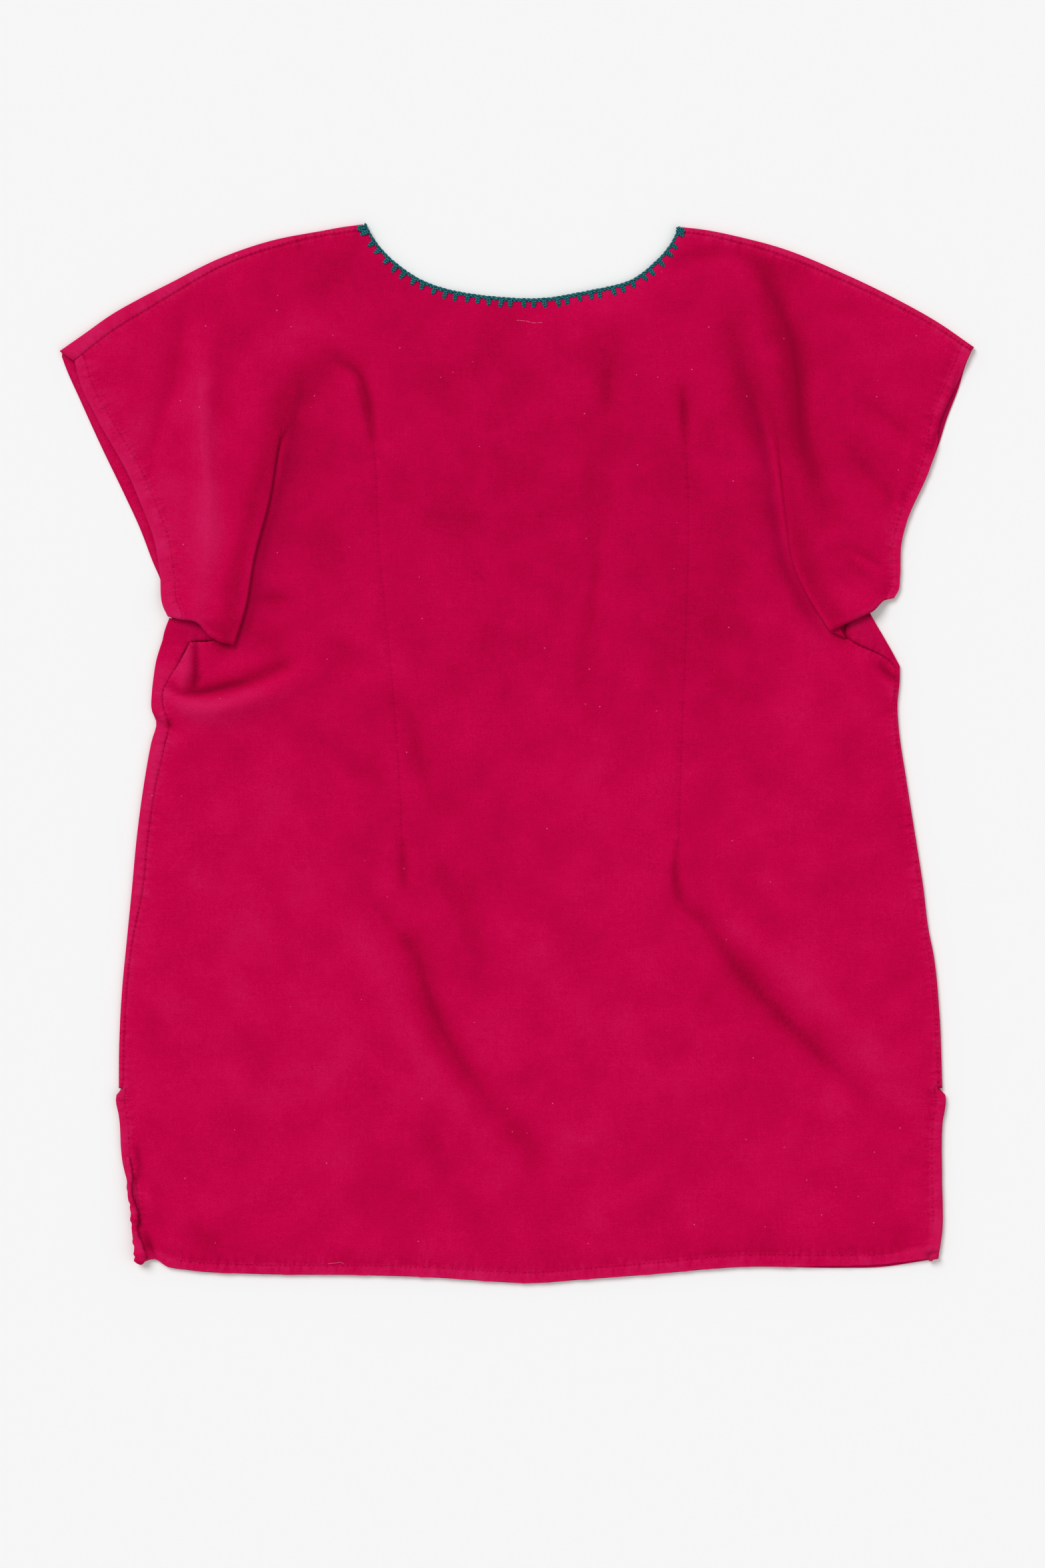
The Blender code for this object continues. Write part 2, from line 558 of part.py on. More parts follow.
def edging_path():
    """The middle of the edging's purl all round the neck, and its radius at each point."""
    swell = np.sin(np.pi * np.linspace(0, 1, NECK_COLUMNS + 1)) ** 0.5
    radius = THIN_THREAD + (THREAD - THIN_THREAD) * swell
    cloth = neck_edge(BACK_NECK, THREAD, NECK_COLUMNS)
    outward = aside(cloth, 1) - cloth
    back = cloth + outward * (radius + GAP)[:, None]
    back = np.column_stack([back, body_height(cloth), radius])
    cloth = neck_edge(FRONT_NECK, THIN_THREAD, NECK_COLUMNS)
    front = aside(cloth, THIN_THREAD + GAP)[-2:0:-1]
    low = THIN_THREAD + 0.05
    front = np.column_stack([front, np.full(len(front), low), np.full(len(front), THIN_THREAD)])
    ends = []
    for x, y, _, _ in (back[-1], back[0]):
        over = [(y + 1.2, SEAM_LEVEL - 0.4), (y + 1.8, BACK_LEVEL), (y + 1.2, low + 0.4)]
        ends.append([(x, turn_y, turn_z, THIN_THREAD) for turn_y, turn_z in over])
    return np.concatenate([back, ends[0], front, ends[1][::-1]])


def make_edging(name, colour, collection):
    path = edging_path()
    curve = bpy.data.curves.new(name, "CURVE")
    curve.dimensions = "3D"
    curve.bevel_depth = MM
    curve.bevel_resolution = 1
    spline = curve.splines.new("POLY")
    spline.points.add(len(path) - 1)
    for point, (x, y, z, radius) in zip(spline.points, path):
        point.co = (x * MM, y * MM, z * MM, 1)
        point.radius = radius
    spline.use_cyclic_u = True
    curve.materials.append(cloth_material(name, colour, 0.6))
    edging = bpy.data.objects.new(name, curve)
    collection.objects.link(edging)
    return edging


def main():
    for item in list(bpy.data.objects):
        bpy.data.objects.remove(item)
    top = bpy.data.collections.new("embroidered_top")
    bpy.context.scene.collection.children.link(top)
    crimson = (0.50, 0.003, 0.06)
    teal = (0.01, 0.16, 0.17)
    make_panel("front_panel", build_front(), crimson, top)
    make_panel("back_panel", build_back(), crimson, top)
    make_edging("neck_edging", teal, top)


main()
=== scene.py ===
"""A short-sleeved cotton blouse with a scoop neck, laid flat and face down: its cloth, creases and stitches.

Tables and lengths are in millimetres and become metres when a mesh is made. +X is to the right,
+Y towards the neck, +Z up, and the origin is below the middle of the garment, on the surface it lies on.
"""

from functools import partial

import bpy
import numpy as np
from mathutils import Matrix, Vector, noise


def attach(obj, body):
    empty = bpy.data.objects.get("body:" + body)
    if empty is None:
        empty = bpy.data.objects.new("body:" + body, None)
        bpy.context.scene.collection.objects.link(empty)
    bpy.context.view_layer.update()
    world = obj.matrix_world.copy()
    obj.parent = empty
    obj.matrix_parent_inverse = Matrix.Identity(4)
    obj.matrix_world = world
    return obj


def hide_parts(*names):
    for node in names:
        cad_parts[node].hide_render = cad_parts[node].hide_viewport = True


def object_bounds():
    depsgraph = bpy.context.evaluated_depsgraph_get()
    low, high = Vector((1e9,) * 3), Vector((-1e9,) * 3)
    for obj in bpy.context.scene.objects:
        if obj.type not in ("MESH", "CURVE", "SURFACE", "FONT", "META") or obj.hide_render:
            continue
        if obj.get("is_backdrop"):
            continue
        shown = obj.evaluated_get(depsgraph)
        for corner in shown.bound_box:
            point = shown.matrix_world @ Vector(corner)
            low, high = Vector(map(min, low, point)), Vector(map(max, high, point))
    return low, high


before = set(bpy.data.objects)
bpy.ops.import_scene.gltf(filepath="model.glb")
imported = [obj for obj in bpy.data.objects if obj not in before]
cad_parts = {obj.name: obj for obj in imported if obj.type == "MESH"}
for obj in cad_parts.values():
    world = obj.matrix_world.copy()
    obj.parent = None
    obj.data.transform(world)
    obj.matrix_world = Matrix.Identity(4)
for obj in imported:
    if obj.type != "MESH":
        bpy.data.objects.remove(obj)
cad_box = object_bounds()

MM = 0.001
UP = (0, 0, 1.0)

# Cloth
CLOTH = 0.9
WALL = 1.2  # wall of the solids, whose middle surface the cloth follows
GAP = 0.3
ROLL = 1.5  # radius of the edges that roll round onto the back
FRONT_LEVEL = WALL / 2  # height of the middle of the front
BACK_LEVEL = FRONT_LEVEL + WALL + GAP
SEAM_LEVEL = FRONT_LEVEL + 2 * ROLL
ROLL_REACH = ROLL + WALL / 2  # from the outline to where a rolled edge lies flat

# Underarm pleats: the sleeve laps over the body in three layers
TURN = 1.3  # radius of each turn of a pleat
PLEAT_LIFT = 4 * TURN
NOSE = 0.34  # how much wider the outer turn is than a round one, for each millimetre of the pleat's depth
SLACK_OUT = 20.0  # where a pleat has faded, its columns spread this far onto the sleeve
SLACK_IN = 8.0  # and this far onto the body

# Soft relief of the back
PUFF = 2.6
SEAM_REACH = 15.0
PLEAT_REACH = 28.0
SLEEVE_REACH = 30.0
HEM_REACH = 20.0
LOW_EDGE_REACH = 26.0
LOW_EDGE_LIFT = 0.8  # share of the pleat's lift along the sleeve's lower edge

# Neck edging
THREAD = 1.3  # radius of the purl along the back neck
THIN_THREAD = 0.9  # and round the front

# Segments of the grids
ARM_ROWS = 12
SIDE_ROWS = 84
VENT_ROWS = 40
SLEEVE_ROWS = 80
SHOULDER_COLUMNS = 46
BACK_NECK_COLUMNS = 66
FRONT_NECK_COLUMNS = 84
CUFF_ROWS = 58
ARMPIT_COLUMNS = 10
SLEEVE_COLUMNS = 38
FLANK_COLUMNS = 36  # from a pleat to a dart
TURN_POINTS = 9
LAP_POINTS = 4

# Sleeve hems, from the underarm up: x, y
BACK_CUFF_LEFT = [(-225, 88), (-228, 94), (-230.5, 116), (-234, 137), (-242, 159), (-251, 180),
                  (-270, 214), (-282, 239), (-285.5, 253)]
FRONT_CUFF_LEFT = [(-225, 88), (-228, 94), (-230, 111), (-235, 123), (-243, 144), (-254, 168),
                   (-268, 197), (-283, 230), (-291, 248), (-295, 259)]
BACK_CUFF_RIGHT = [(243, 100), (246, 105), (247, 114), (248, 136), (251, 148), (266, 183),
                   (271, 199), (272, 209), (281, 232), (288, 248), (293, 260)]
FRONT_CUFF_RIGHT = [(243, 100), (246, 105), (247, 114), (248, 136), (251, 148), (266, 183),
                    (272, 199), (277, 215), (285, 236), (290, 252), (294, 261)]

# Shoulders, from the sleeve hem to the neck: x and y of the rolled edge, x and y of the seam
SHOULDER_LEFT = [(-295.4, 259.5, -286, 253), (-279, 271, -274, 263), (-262, 283, -259, 274),
                 (-243.5, 293.5, -241, 285), (-224, 303.5, -221, 297), (-193, 319, -191, 314),
                 (-158, 331, -157, 326.5), (-127, 337, -126.5, 334), (-110, 340, -110, 336.5),
                 (-99.6, 341.3, -99.4, 337.5)]
SHOULDER_RIGHT = [(295, 262, 293, 259.5), (271, 278.5, 269.5, 275.5), (246, 292.5, 244.5, 289),
                  (211, 309.5, 209.5, 305.5), (169, 326.5, 168, 322.5), (144.5, 333, 144, 329.5),
                  (120, 338, 119.5, 335), (106, 339.6, 105.8, 336.5)]

# Neck openings, left to right, at the outer side of the edging: x, y
BACK_NECK = [(-95.9, 340.5), (-90.5, 331), (-84.5, 323.5), (-75, 315), (-65, 308), (-53, 302.5),
             (-38, 298.5), (-22, 296), (-5.5, 294.5), (12.5, 294), (24, 295), (37.5, 297.5),
             (50.5, 300), (64, 303), (72, 305.5), (80, 310.5), (88, 317.5), (95, 325), (99, 331),
             (102.5, 338.5)]
FRONT_NECK = [(-95.9, 340.5), (-93.5, 325), (-88, 303), (-76, 279), (-55, 257), (-26, 243),
              (3, 239), (32, 243), (60, 257), (82, 279), (95, 303), (100.5, 325), (102.5, 338.5)]

# Underarms: x and y of the rolled edge, x and y of the seam, bow of the row under the sleeve
ARM_LEFT = [(-224.5, 87.5, -193.8, 74.5, 10), (-226.3, 83, -198.5, 72.6, 5), (-227.5, 79.5, -203, 72.4, 2),
            (-228.3, 76.5, -207, 72.3, 1), (-229, 73, -211, 72, 0)]
ARM_RIGHT = [(227.5, 91, 212.5, 75.5, 7), (232, 83, 219.7, 70, 3), (235.5, 77, 229, 66, 1),
             (240, 69, 238, 61.5, 0), (247, 56.5, 244.4, 55, 0)]

# Side seams, from the underarm to the top of the vent: x and y of the rolled edge, x and y of the seam
SIDE_LEFT = [(-229, 73, -211, 72), (-233, 60, -217, 60), (-235, 47.5, -226, 46), (-236, 38, -229, 38),
             (-236, 28, -228, 28), (-233, 20.5, -225, 18), (-236, 8, -227.5, 5), (-241.5, -23, -234, -24),
             (-245.5, -53, -238, -53), (-249, -90, -242, -90), (-252.5, -125, -249, -125),
             (-255, -151, -252, -151), (-257, -190, -254, -190), (-257.2, -216, -254.5, -216)]
SIDE_RIGHT = [(247, 56.5, 244.4, 55), (247, 48, 244.4, 47), (245.5, 30, 243, 30), (246.5, 15, 244, 15),
              (251, -15.5, 248.5, -15.5), (256.5, -50, 254, -50), (262, -85, 259.5, -85),
              (266, -116, 263.5, -116), (268.5, -128, 266, -128), (272.5, -166, 270, -166),
              (274.5, -216, 272, -216)]

# Side vents, from the end of the seam to the corner: x, y
VENT_LEFT = [(-257.6, -217), (-258.8, -223), (-257, -233), (-254.5, -264), (-250.5, -281), (-249, -298),
             (-247, -318), (-243, -328.5)]
VENT_RIGHT = [(275.5, -217), (276.4, -222), (274.3, -239), (274, -273), (274, -310), (271.5, -326)]

# Hem, left to right: x, y
HEM = [(-243, -328.5), (-233, -326.5), (-226, -331), (-212, -333.5), (-167, -336), (-98, -336.8),
       (-50, -338.5), (-14, -341), (5, -341.9), (46, -339.3), (86, -336.3), (145, -331.5), (209, -332),
       (234, -331.5), (262, -327.5), (271.5, -326)]

# Where the back's hem is drawn up over the front's: x, rise
HEM_RISE = [(175, 0), (200, 1.1), (240, 1.5), (262, 0.8), (268, 0)]

# Lower edges of the sleeves, from the hem's corner to the tip of the pleat: x, y
LOW_EDGE_LEFT = [(-225, 88), (-218, 86.5), (-205.5, 84.3), (-197, 76), (-190.5, 72)]
LOW_EDGE_RIGHT = [(243, 100), (236, 98.5), (227.5, 91.5), (219.7, 88), (207, 83)]

# Underarm pleats, from the tip up to the shoulder: x and y of the fold, depth, fullness
PLEAT_LEFT = [(-183, 69.7, 7.5, 1), (-175.5, 94, 8.5, 1), (-170, 126, 8.5, 1), (-159, 166, 7, 0.93),
              (-152, 195, 5, 0.7), (-145.5, 215, 3, 0.36), (-142, 236, 1.5, 0.12), (-141, 271, 0, 0.03),
              (-140, 301, 0, 0), (-139, 330, 0, 0)]
PLEAT_RIGHT = [(202, 78.5, 7, 1), (188.5, 100, 8.5, 1), (178, 121, 8.5, 0.93), (172, 150, 7.5, 0.8),
               (166.5, 186, 6, 0.66), (162, 208, 4, 0.48), (156, 229, 2, 0.3), (149, 250, 0.5, 0.14),
               (144, 274, 0, 0.04), (141, 301, 0, 0), (140, 330, 0, 0)]
TIP_RISE_LEFT = (2.1, 2.1)  # how far the sleeve's layer and the one under it run up from the tip
TIP_RISE_RIGHT = (4.7, -4.5)

# Back darts: their seams up from the underarms and down to the hem: x, y
DART_LEFT = [(-83, 72.4), (-88.5, 126), (-93, 205), (-98, 236), (-112, 262), (-114, 336.5)]
DART_RIGHT = [(109, 73.4), (110.5, 160), (109, 201), (108, 240), (114, 290), (123, 334.5)]
DART_LOW_LEFT = [(-83, 72.4), (-79.5, 34), (-75.7, -19), (-74, -61), (-73.5, -84), (-72, -200), (-71, -337.7)]
DART_LOW_RIGHT = [(109, 73.4), (106.6, 17), (105, -30), (104, -61), (103, -76), (105.5, -97), (105, -200),
                  (104, -334.9)]

# Lines that folds, their sharp cores and their dark bottoms share: x, y
LEFT_DART_TOP = [(-115, 253), (-103, 246), (-98, 233), (-94.6, 216), (-93, 203)]
LEFT_DIAGONAL = [(-99, -89), (-86, -106), (-64, -133), (-57, -158), (-47, -180), (-32, -205),
                 (-18, -227), (2, -247), (14, -269)]
RIGHT_DIAGONAL = [(105, -96), (123, -111), (140, -136), (150, -148), (169, -168), (184, -183),
                  (206, -203), (224, -222), (246, -240)]
HIGH_SLEEVE_FOLD = [(226, 227), (243, 213), (258, 199)]
LOW_SLEEVE_FOLD = [(219, 190), (230, 178), (241, 166)]
YOKE_FOLD = [(60, 256), (58, 236), (57, 217)]
WAVY_CUFF = [(284.5, 246), (280, 230), (275, 218.5), (270.5, 205.5), (266, 194)]
CORNER_CURL = [(264.9, -326.4), (265.7, -322.9), (267.9, -321.2), (270.5, -321.6), (271.8, -324.2)]

# Folds of the back: half width, height, and the points along the line
FOLDS = [
    # Left sleeve
    (9, -1.0, [(-192, 307), (-212, 295), (-217, 276), (-224, 234), (-231, 214), (-238, 177)]),
    (7, -0.8, [(-190, 258), (-188, 243), (-192, 225), (-190, 203)]),
    (9, 1.7, [(-200, 256), (-203, 225), (-202, 186), (-200, 160), (-198, 138), (-204, 109), (-207, 94)]),
    # Left underarm
    (5, -0.8, [(-170, 98), (-158, 99), (-146, 100)]),
    (5, -1.3, [(-224, 46), (-209, 40), (-167, 49), (-146, 58)]),
    (9, 2.4, [(-221, 35), (-205, 28), (-166, 36), (-136, 52)]),
    (6, 2.6, [(-215, 68), (-215, 56), (-217, 47)]),
    (3, -0.9, [(-236, 25), (-230, 21), (-223, 18)]),
    (7, -0.9, [(-117, 68), (-106, 61), (-95, 56)]),
    # Body, left
    (7, -0.8, [(-73, 78), (-66, 62), (-60, 46)]),
    (9, -1.2, [(-138, 7), (-111, -5), (-86, -22)]),
    (7, -0.7, [(-146, -25), (-133, -35), (-121, -45)]),
    (8, -0.8, [(-72, 27), (-64, 0), (-57, -27)]),
    (9, -2.0, LEFT_DIAGONAL),
    (11, 1.2, [(-112, -110), (-76, -168), (-41, -224), (-10, -272)]),
    (7, -1.3, [(-47, -77), (-35, -104), (-25, -129), (-20, -153)]),
    (8, -1.0, [(-55, -240), (-47, -272), (-32, -296), (-18, -323)]),
    (9, -0.8, [(-92, -237), (-94, -267), (-96, -296)]),
    (6, -0.7, [(-232, -170), (-230, -184), (-227, -198)]),
    (5, -1.0, [(-246, -252), (-238, -279), (-225, -289)]),
    (4, 1.0, [(-241, -268), (-238, -288), (-233, -302), (-224, -316)]),
    (5, -1.2, [(-237, -294), (-230, -304), (-225, -311)]),
    (6, -0.8, [(-212, -306), (-200, -316), (-185, -326)]),
    # Body, middle
    (7, -0.7, YOKE_FOLD),
    (9, -1.0, [(52, 170), (49, 104), (43, 39)]),
    (6, -0.6, [(22, 276), (24, 266), (27, 256)]),
    (6, -0.7, [(141, -214), (145, -217), (150, -219)]),
    (6, -0.7, [(69, -269), (73, -272), (78, -273)]),
    (6, -0.6, [(104, -190), (108, -193), (113, -194)]),
    # Body, right
    (9, -1.8, RIGHT_DIAGONAL),
    (11, 1.2, [(122, -86), (157, -125), (195, -159), (238, -202), (256, -218)]),
    (5, -0.7, [(249, -262), (256, -264), (263, -267)]),
    (6, -0.8, [(113, -69), (118, -82), (123, -94)]),
    (6, -0.6, [(213, 5), (214, -3), (215, -10)]),
    (5, -0.8, [(236, 60), (240, 53), (244, 46)]),
    (7, -0.7, [(238, -308), (249, -311), (259, -313)]),
    # Right sleeve and shoulder
    (9, -2.6, [(162, 309), (171, 276), (178, 260), (181, 234), (182, 212), (186, 190), (192, 172),
               (200, 150)]),
    (9, -1.1, HIGH_SLEEVE_FOLD),
    (8, -0.9, LOW_SLEEVE_FOLD),
    (5, -0.6, [(256, 254), (263, 244), (270, 234)]),
    (8, -0.9, [(212, 129), (224, 121), (236, 114)]),
    (7, -0.9, [(96, 315), (111, 320), (125, 324)]),
    (7, -0.8, [(155, 315), (173, 313), (190, 311)]),
    # Ends of the darts
    (4, -1.6, LEFT_DART_TOP),
    (4, -0.8, [(-74, -59), (-74, -72), (-73, -84)]),
    (3.5, -1.1, [(107, 232), (108, 216), (109, 201)]),
    (4, -1.0, [(103, -71), (103, -86), (106, -97)]),
    # Beside the tops of the pleats
    (12, -1.7, [(-152, 200), (-145, 226), (-129, 242), (-110, 250)]),
    (9, -1.2, [(160, 196), (155, 216), (146, 240), (139, 268)]),
]

# Stitched parts of the darts
DART_TOP = 203
DART_END = -62

# Creases that keep their height close to seams and pleats: half width, height, and the points along the line
CREASES = [
    # Facets under the left arm
    (3.4, 3.0, [(-215, 74), (-214, 64), (-213.5, 52), (-215.5, 44)]),
    (2.2, -2.2, [(-208.3, 73), (-207.5, 60), (-207.5, 48), (-208.5, 41)]),
    (2.6, -2.2, [(-223, 44), (-216, 39), (-205, 39.5), (-185, 44.5), (-167, 49), (-150, 57)]),
    (5, 1.8, [(-225, 35), (-212, 30), (-196, 31), (-170, 38)]),
    (1.8, -1.4, [(-236, 26), (-230, 21.5), (-221, 17)]),
    (4, 1.2, [(-233, 13), (-226, 8), (-214, 7)]),
    # The sleeve's folded lower corner on the left
    (2.2, 0.9, [(-206, 86), (-196, 88), (-186, 89), (-177, 91)]),
    (2.2, -0.7, [(-202, 83), (-193, 80), (-184, 78)]),
    # Top of the vents and the right underarm
    (2.2, -0.8, [(276, -216), (272, -217.5), (266, -219)]),
    (2.5, 0.8, [(276, -211), (271, -213), (264, -214)]),
    (2.2, -1.0, [(246, 47), (240, 51), (233, 58)]),
    (3, 0.9, [(246, 40), (240, 43), (232, 50)]),
    (2.0, -0.8, [(247, 24), (241, 26), (233, 25)]),
    # Sharp cores of the long folds, and of those at the ends of the darts
    (2.4, -1.2, LEFT_DART_TOP),
    (2.2, -0.8, [(107, 236), (108, 218), (109, 200)]),
    (2.2, -0.8, [(-74, -58), (-73, -72), (-72, -90)]),
    (2.2, -1.0, [(104, -58), (102, -75), (106, -97)]),
    (5, -1.3, [(104, 314), (118, 321), (136, 323), (153, 317), (163, 303), (171, 284)]),
    (3.2, -1.2, RIGHT_DIAGONAL[:7]),
    (3.2, -1.0, LEFT_DIAGONAL[:6]),
    (5, -1.6, [(172, 276), (178, 255), (181, 236), (183, 212), (187, 190), (193, 172)]),
    (3.0, -0.8, [(-217, 276), (-224, 234), (-231, 214), (-238, 180)]),
    (3.0, -0.9, HIGH_SLEEVE_FOLD),
    (2.8, -0.8, LOW_SLEEVE_FOLD),
    (2.4, -0.8, [(214, 134), (225, 127), (236, 120)]),
    (2.4, 0.6, [(213, 127), (225, 120), (236, 112)]),
    (2.2, -0.7, [(204, 117), (214, 109), (225, 101)]),
    (2.2, -0.7, [(238, 172), (242, 160), (243, 148)]),
    (2.6, -0.8, [(52, 130), (49, 104), (47, 80)]),
    (2.6, -0.7, YOKE_FOLD),
    (2.6, -0.8, [(-68, 22), (-62, -4), (-58, -24)]),
    (2.6, -0.7, [(-168, 99), (-158, 99), (-148, 100)]),
    # Wavy edge of the right sleeve, the corners of the hem
    (1.8, -1.2, WAVY_CUFF),
    (2.6, 1.0, [(287, 240), (282.5, 226), (277, 214)]),
    (2.4, -1.4, [(-239.5, -311), (-237, -318), (-234, -325)]),
    (1.5, -1.0, CORNER_CURL),
    (2.6, 0.9, [(267, -327), (268.5, -324.5)]),
]

# Creases so deep that little light reaches them: half width, darkness, and the points along the line
DEEP_CREASES = [
    (1.7, 0.55, [(-207.6, 74), (-207.2, 62), (-207.2, 50), (-208.5, 41)]),
    (1.9, 0.42, [(-225, 44), (-217, 39.5), (-206, 39.5), (-192, 42), (-176, 46)]),
    (1.5, 0.4, [(-235, 25.5), (-229, 21), (-221, 16.5)]),
    (3.5, 0.25, [(-178.5, 72), (-171, 95), (-165, 126), (-155, 164), (-148, 192)]),
    (9, 0.14, [(-176, 74), (-167, 96), (-160, 126), (-150, 164), (-140, 200), (-132, 230)]),
    (2.6, 0.16, [(-150, 190), (-144, 215), (-141, 240)]),
    (3.5, 0.22, [(196, 76), (182, 100), (172, 122), (166, 150), (161, 186), (156.5, 208), (151, 229)]),
    (7, 0.14, [(190, 84), (178, 104), (168, 124), (162, 150), (157, 186), (152, 210), (146, 234),
               (139, 262)]),
    (2.2, 0.26, [(161, 304), (169, 288), (176, 270), (180, 250), (181.5, 232), (182.5, 212), (185, 192)]),
    (2.2, 0.16, [(-113, 252), (-103, 246), (-98, 233), (-94.6, 216), (-93, 203)]),
    (2.0, 0.1, [(107, 234), (108, 218), (109, 202)]),
    (2.0, 0.1, [(-74, -58), (-73, -72), (-72, -86)]),
    (2.4, 0.14, [(104, -58), (102, -75), (107, -98), (123, -112)]),
    (2.8, 0.15, [(118, -107), *RIGHT_DIAGONAL[2:7], (226, -222)]),
    (2.8, 0.1, [*LEFT_DIAGONAL[2:6], (-14, -232)]),
    (1.8, 0.35, WAVY_CUFF),
    (1.8, 0.45, [(-239, -309), (-237, -317), (-234, -325)]),
    (1.2, 0.45, CORNER_CURL),
    (2.0, 0.3, [(246, 47), (240, 51), (233, 57)]),
    (1.6, 0.3, [(275, -216.5), (271, -217.5), (266, -219)]),
    (7, 0.16, [(214, 82), (224, 78), (232, 71), (240, 61)]),
    (7, 0.14, [(-196, 80), (-208, 78), (-220, 80), (-228, 78)]),
    (1.8, 0.3, [(236, 98), (228, 91), (219, 87.5), (207, 83)]),
    (1.7, 0.42, [(-246.4, -252), (-243.6, -263), (-247.2, -284), (-243.2, -299), (-243.8, -309),
                 (-239.4, -316)]),
]

# Streaks where the dye has worn off a ridge: half width, strength, and the points along the line
WORN_STREAKS = [
    (3.0, 0.45, [(-202, 262), (-203, 225), (-201, 186), (-199, 150), (-202, 112)]),
    (2.6, 0.3, [(-148, 240), (-156, 200), (-166, 160), (-174, 120), (-179, 86)]),
    (2.6, 0.35, [(160, 190), (168, 150), (176, 118), (188, 98)]),
    (5, 0.25, [(-222, 32), (-196, 30), (-168, 38)]),
    (15, 0.4, [(-190, 222), (-172, 246), (-152, 262), (-132, 272), (-116, 280)]),
    (2.5, 0.5, [(213, 130), (225, 123), (237, 116)]),
    (3.0, 0.45, [(247, 176), (243, 160), (241.5, 140), (239, 106)]),
    (2.5, 0.4, [(256, 212), (250, 190), (246, 172)]),
]

# Broad parts of the back with fuller dye or painted shade, below 0, or with faded dye: x and y, half widths,
# strength
DYE_AND_SHADE_CLOUDS = [
    (5, 190, 120, 100, -0.32),
    (10, 40, 130, 110, -0.14),
    # Painted shade beside the left pleat, beside the right pleat, and in the valley on the right shoulder
    (-150, 140, 34, 110, -0.3),
    (128, 130, 34, 110, -0.28),
    (175, 260, 60, 60, -0.22),
    (-140, 305, 70, 34, -0.2),
    (-190, -150, 90, 120, 0.14),
    (-240, 180, 40, 90, 0.34),
    (-200, 110, 24, 60, 0.2),
]

# The rolled edges of the left vent and of the right corner: x and y of the roll's middle, and its radius
VENT_ROLL = [(-251, -260, 0.9), (-249.8, -272, 1.9), (-249.6, -284, 1.5), (-247.4, -292, 2.1),
             (-246.4, -299, 2.7), (-246.4, -306, 2.0), (-246, -310, 2.0), (-244.4, -315.5, 3.1),
             (-243, -321, 3.9), (-242.6, -325, 4.2), (-242.6, -327.8, 3.2), (-242.6, -329.4, 0.8)]
CORNER_ROLL = [(266.4, -327, 1.0), (266.6, -325.6, 1.7), (267.6, -324.3, 2.1), (269, -324, 2.2),
               (270.2, -324.6, 1.9), (270.8, -325.6, 0.7)]
ROLL_FLATNESS = 0.72  # height of the rolls for their width

# Creases of the front, which lift it a little off the surface it lies on: half width, height, points
FRONT_FOLDS = [
    (9, 0.7, [(-120, 150), (-96, 60), (-70, -20), (-52, -90)]),
    (8, 0.6, [(118, 140), (96, 66), (88, -12), (70, -80)]),
    (10, 0.8, [(-90, -120), (-40, -180), (20, -250)]),
    (9, 0.7, [(110, -110), (160, -165), (210, -220)]),
    (8, 0.5, [(-20, 190), (-8, 120), (4, 60)]),
    (7, 0.5, [(-170, 10), (-130, -10), (-100, -40)]),
    (7, 0.5, [(190, 40), (150, 20), (130, -20)]),
]

# Hems: the edge's table, and how far in from the edge its stitches run, at its start, middle and end
BANDS = [
    (HEM, (5.5, 6.8, 8.6)),
    (BACK_CUFF_LEFT, (9.6, 9.0, 6.8)),
    (BACK_CUFF_RIGHT, (5.2, 5.6, 7.0)),
    (VENT_LEFT, (5.4, 5.6, 4.8)),
    (VENT_RIGHT, (6.2, 6.2, 6.2)),
]
VENT_BANDS = BANDS[3:]
BAND_LIFT = 0.35
GROOVE = 0.5
PUCKER = 0.75
PUCKER_PERIOD = 9.5
SEAM_GROOVE = 0.2
SEAM_LAP = 0.6  # how far the rolled edge tucks under the back at the seam
FOLD_GAIN = 2.1  # how much fuller the folds are than the table says

# The view of the photograph, straight down
VIEW_CENTRE = (3.44, -19.8)
VIEW_HEIGHT = 1011.4
LENS = 100.0
FILM = 36.0
FLOOR = 14.0  # half of the floor's side, in metres


def follow(points, fractions):
    """The points at these fractions of the length of a smooth curve through the given ones."""
    rows = np.array(points, float)
    steps = np.linalg.norm(np.diff(rows[:, :2], axis=0), axis=1)
    knots = np.concatenate([[0], np.cumsum(steps)]) / steps.sum()
    slopes = np.gradient(rows, knots, axis=0)
    at = np.clip(fractions, 0, 1)
    i = np.clip(np.searchsorted(knots, at, side="right") - 1, 0, len(knots) - 2)
    span = (knots[i + 1] - knots[i])[:, None]
    u = (at - knots[i])[:, None] / span
    return (
        rows[i] * (2 * u**3 - 3 * u**2 + 1)
        + rows[i + 1] * (3 * u**2 - 2 * u**3)
        + slopes[i] * span * (u**3 - 2 * u**2 + u)
        + slopes[i + 1] * span * (u**3 - u**2)
    )


def evenly(points, segments):
    return follow(points, np.linspace(0, 1, segments + 1))


def crowded(segments, first=1.0, last=1.0, easing=7):
    """Fractions from 0 to 1, with steps that shrink to these parts of a full one at either end."""
    index = np.arange(segments)
    from_start = first + (1 - first) * index / easing
    from_end = last + (1 - last) * (segments - 1 - index) / easing
    size = np.minimum(1, np.minimum(from_start, from_end))
    return np.concatenate([[0], np.cumsum(size)]) / size.sum()


def between(start, end, fractions):
    """Points on a straight line at these fractions of it."""
    share = fractions[:, None]
    return np.array(start) * (1 - share) + np.array(end) * share


def reached(line):
    """The length of a line of points up to each of them."""
    return np.concatenate([[0], np.cumsum(np.linalg.norm(np.diff(line[:, :2], axis=0), axis=1))])


def length_fractions(line):
    lengths = reached(line)
    return lengths / lengths[-1]


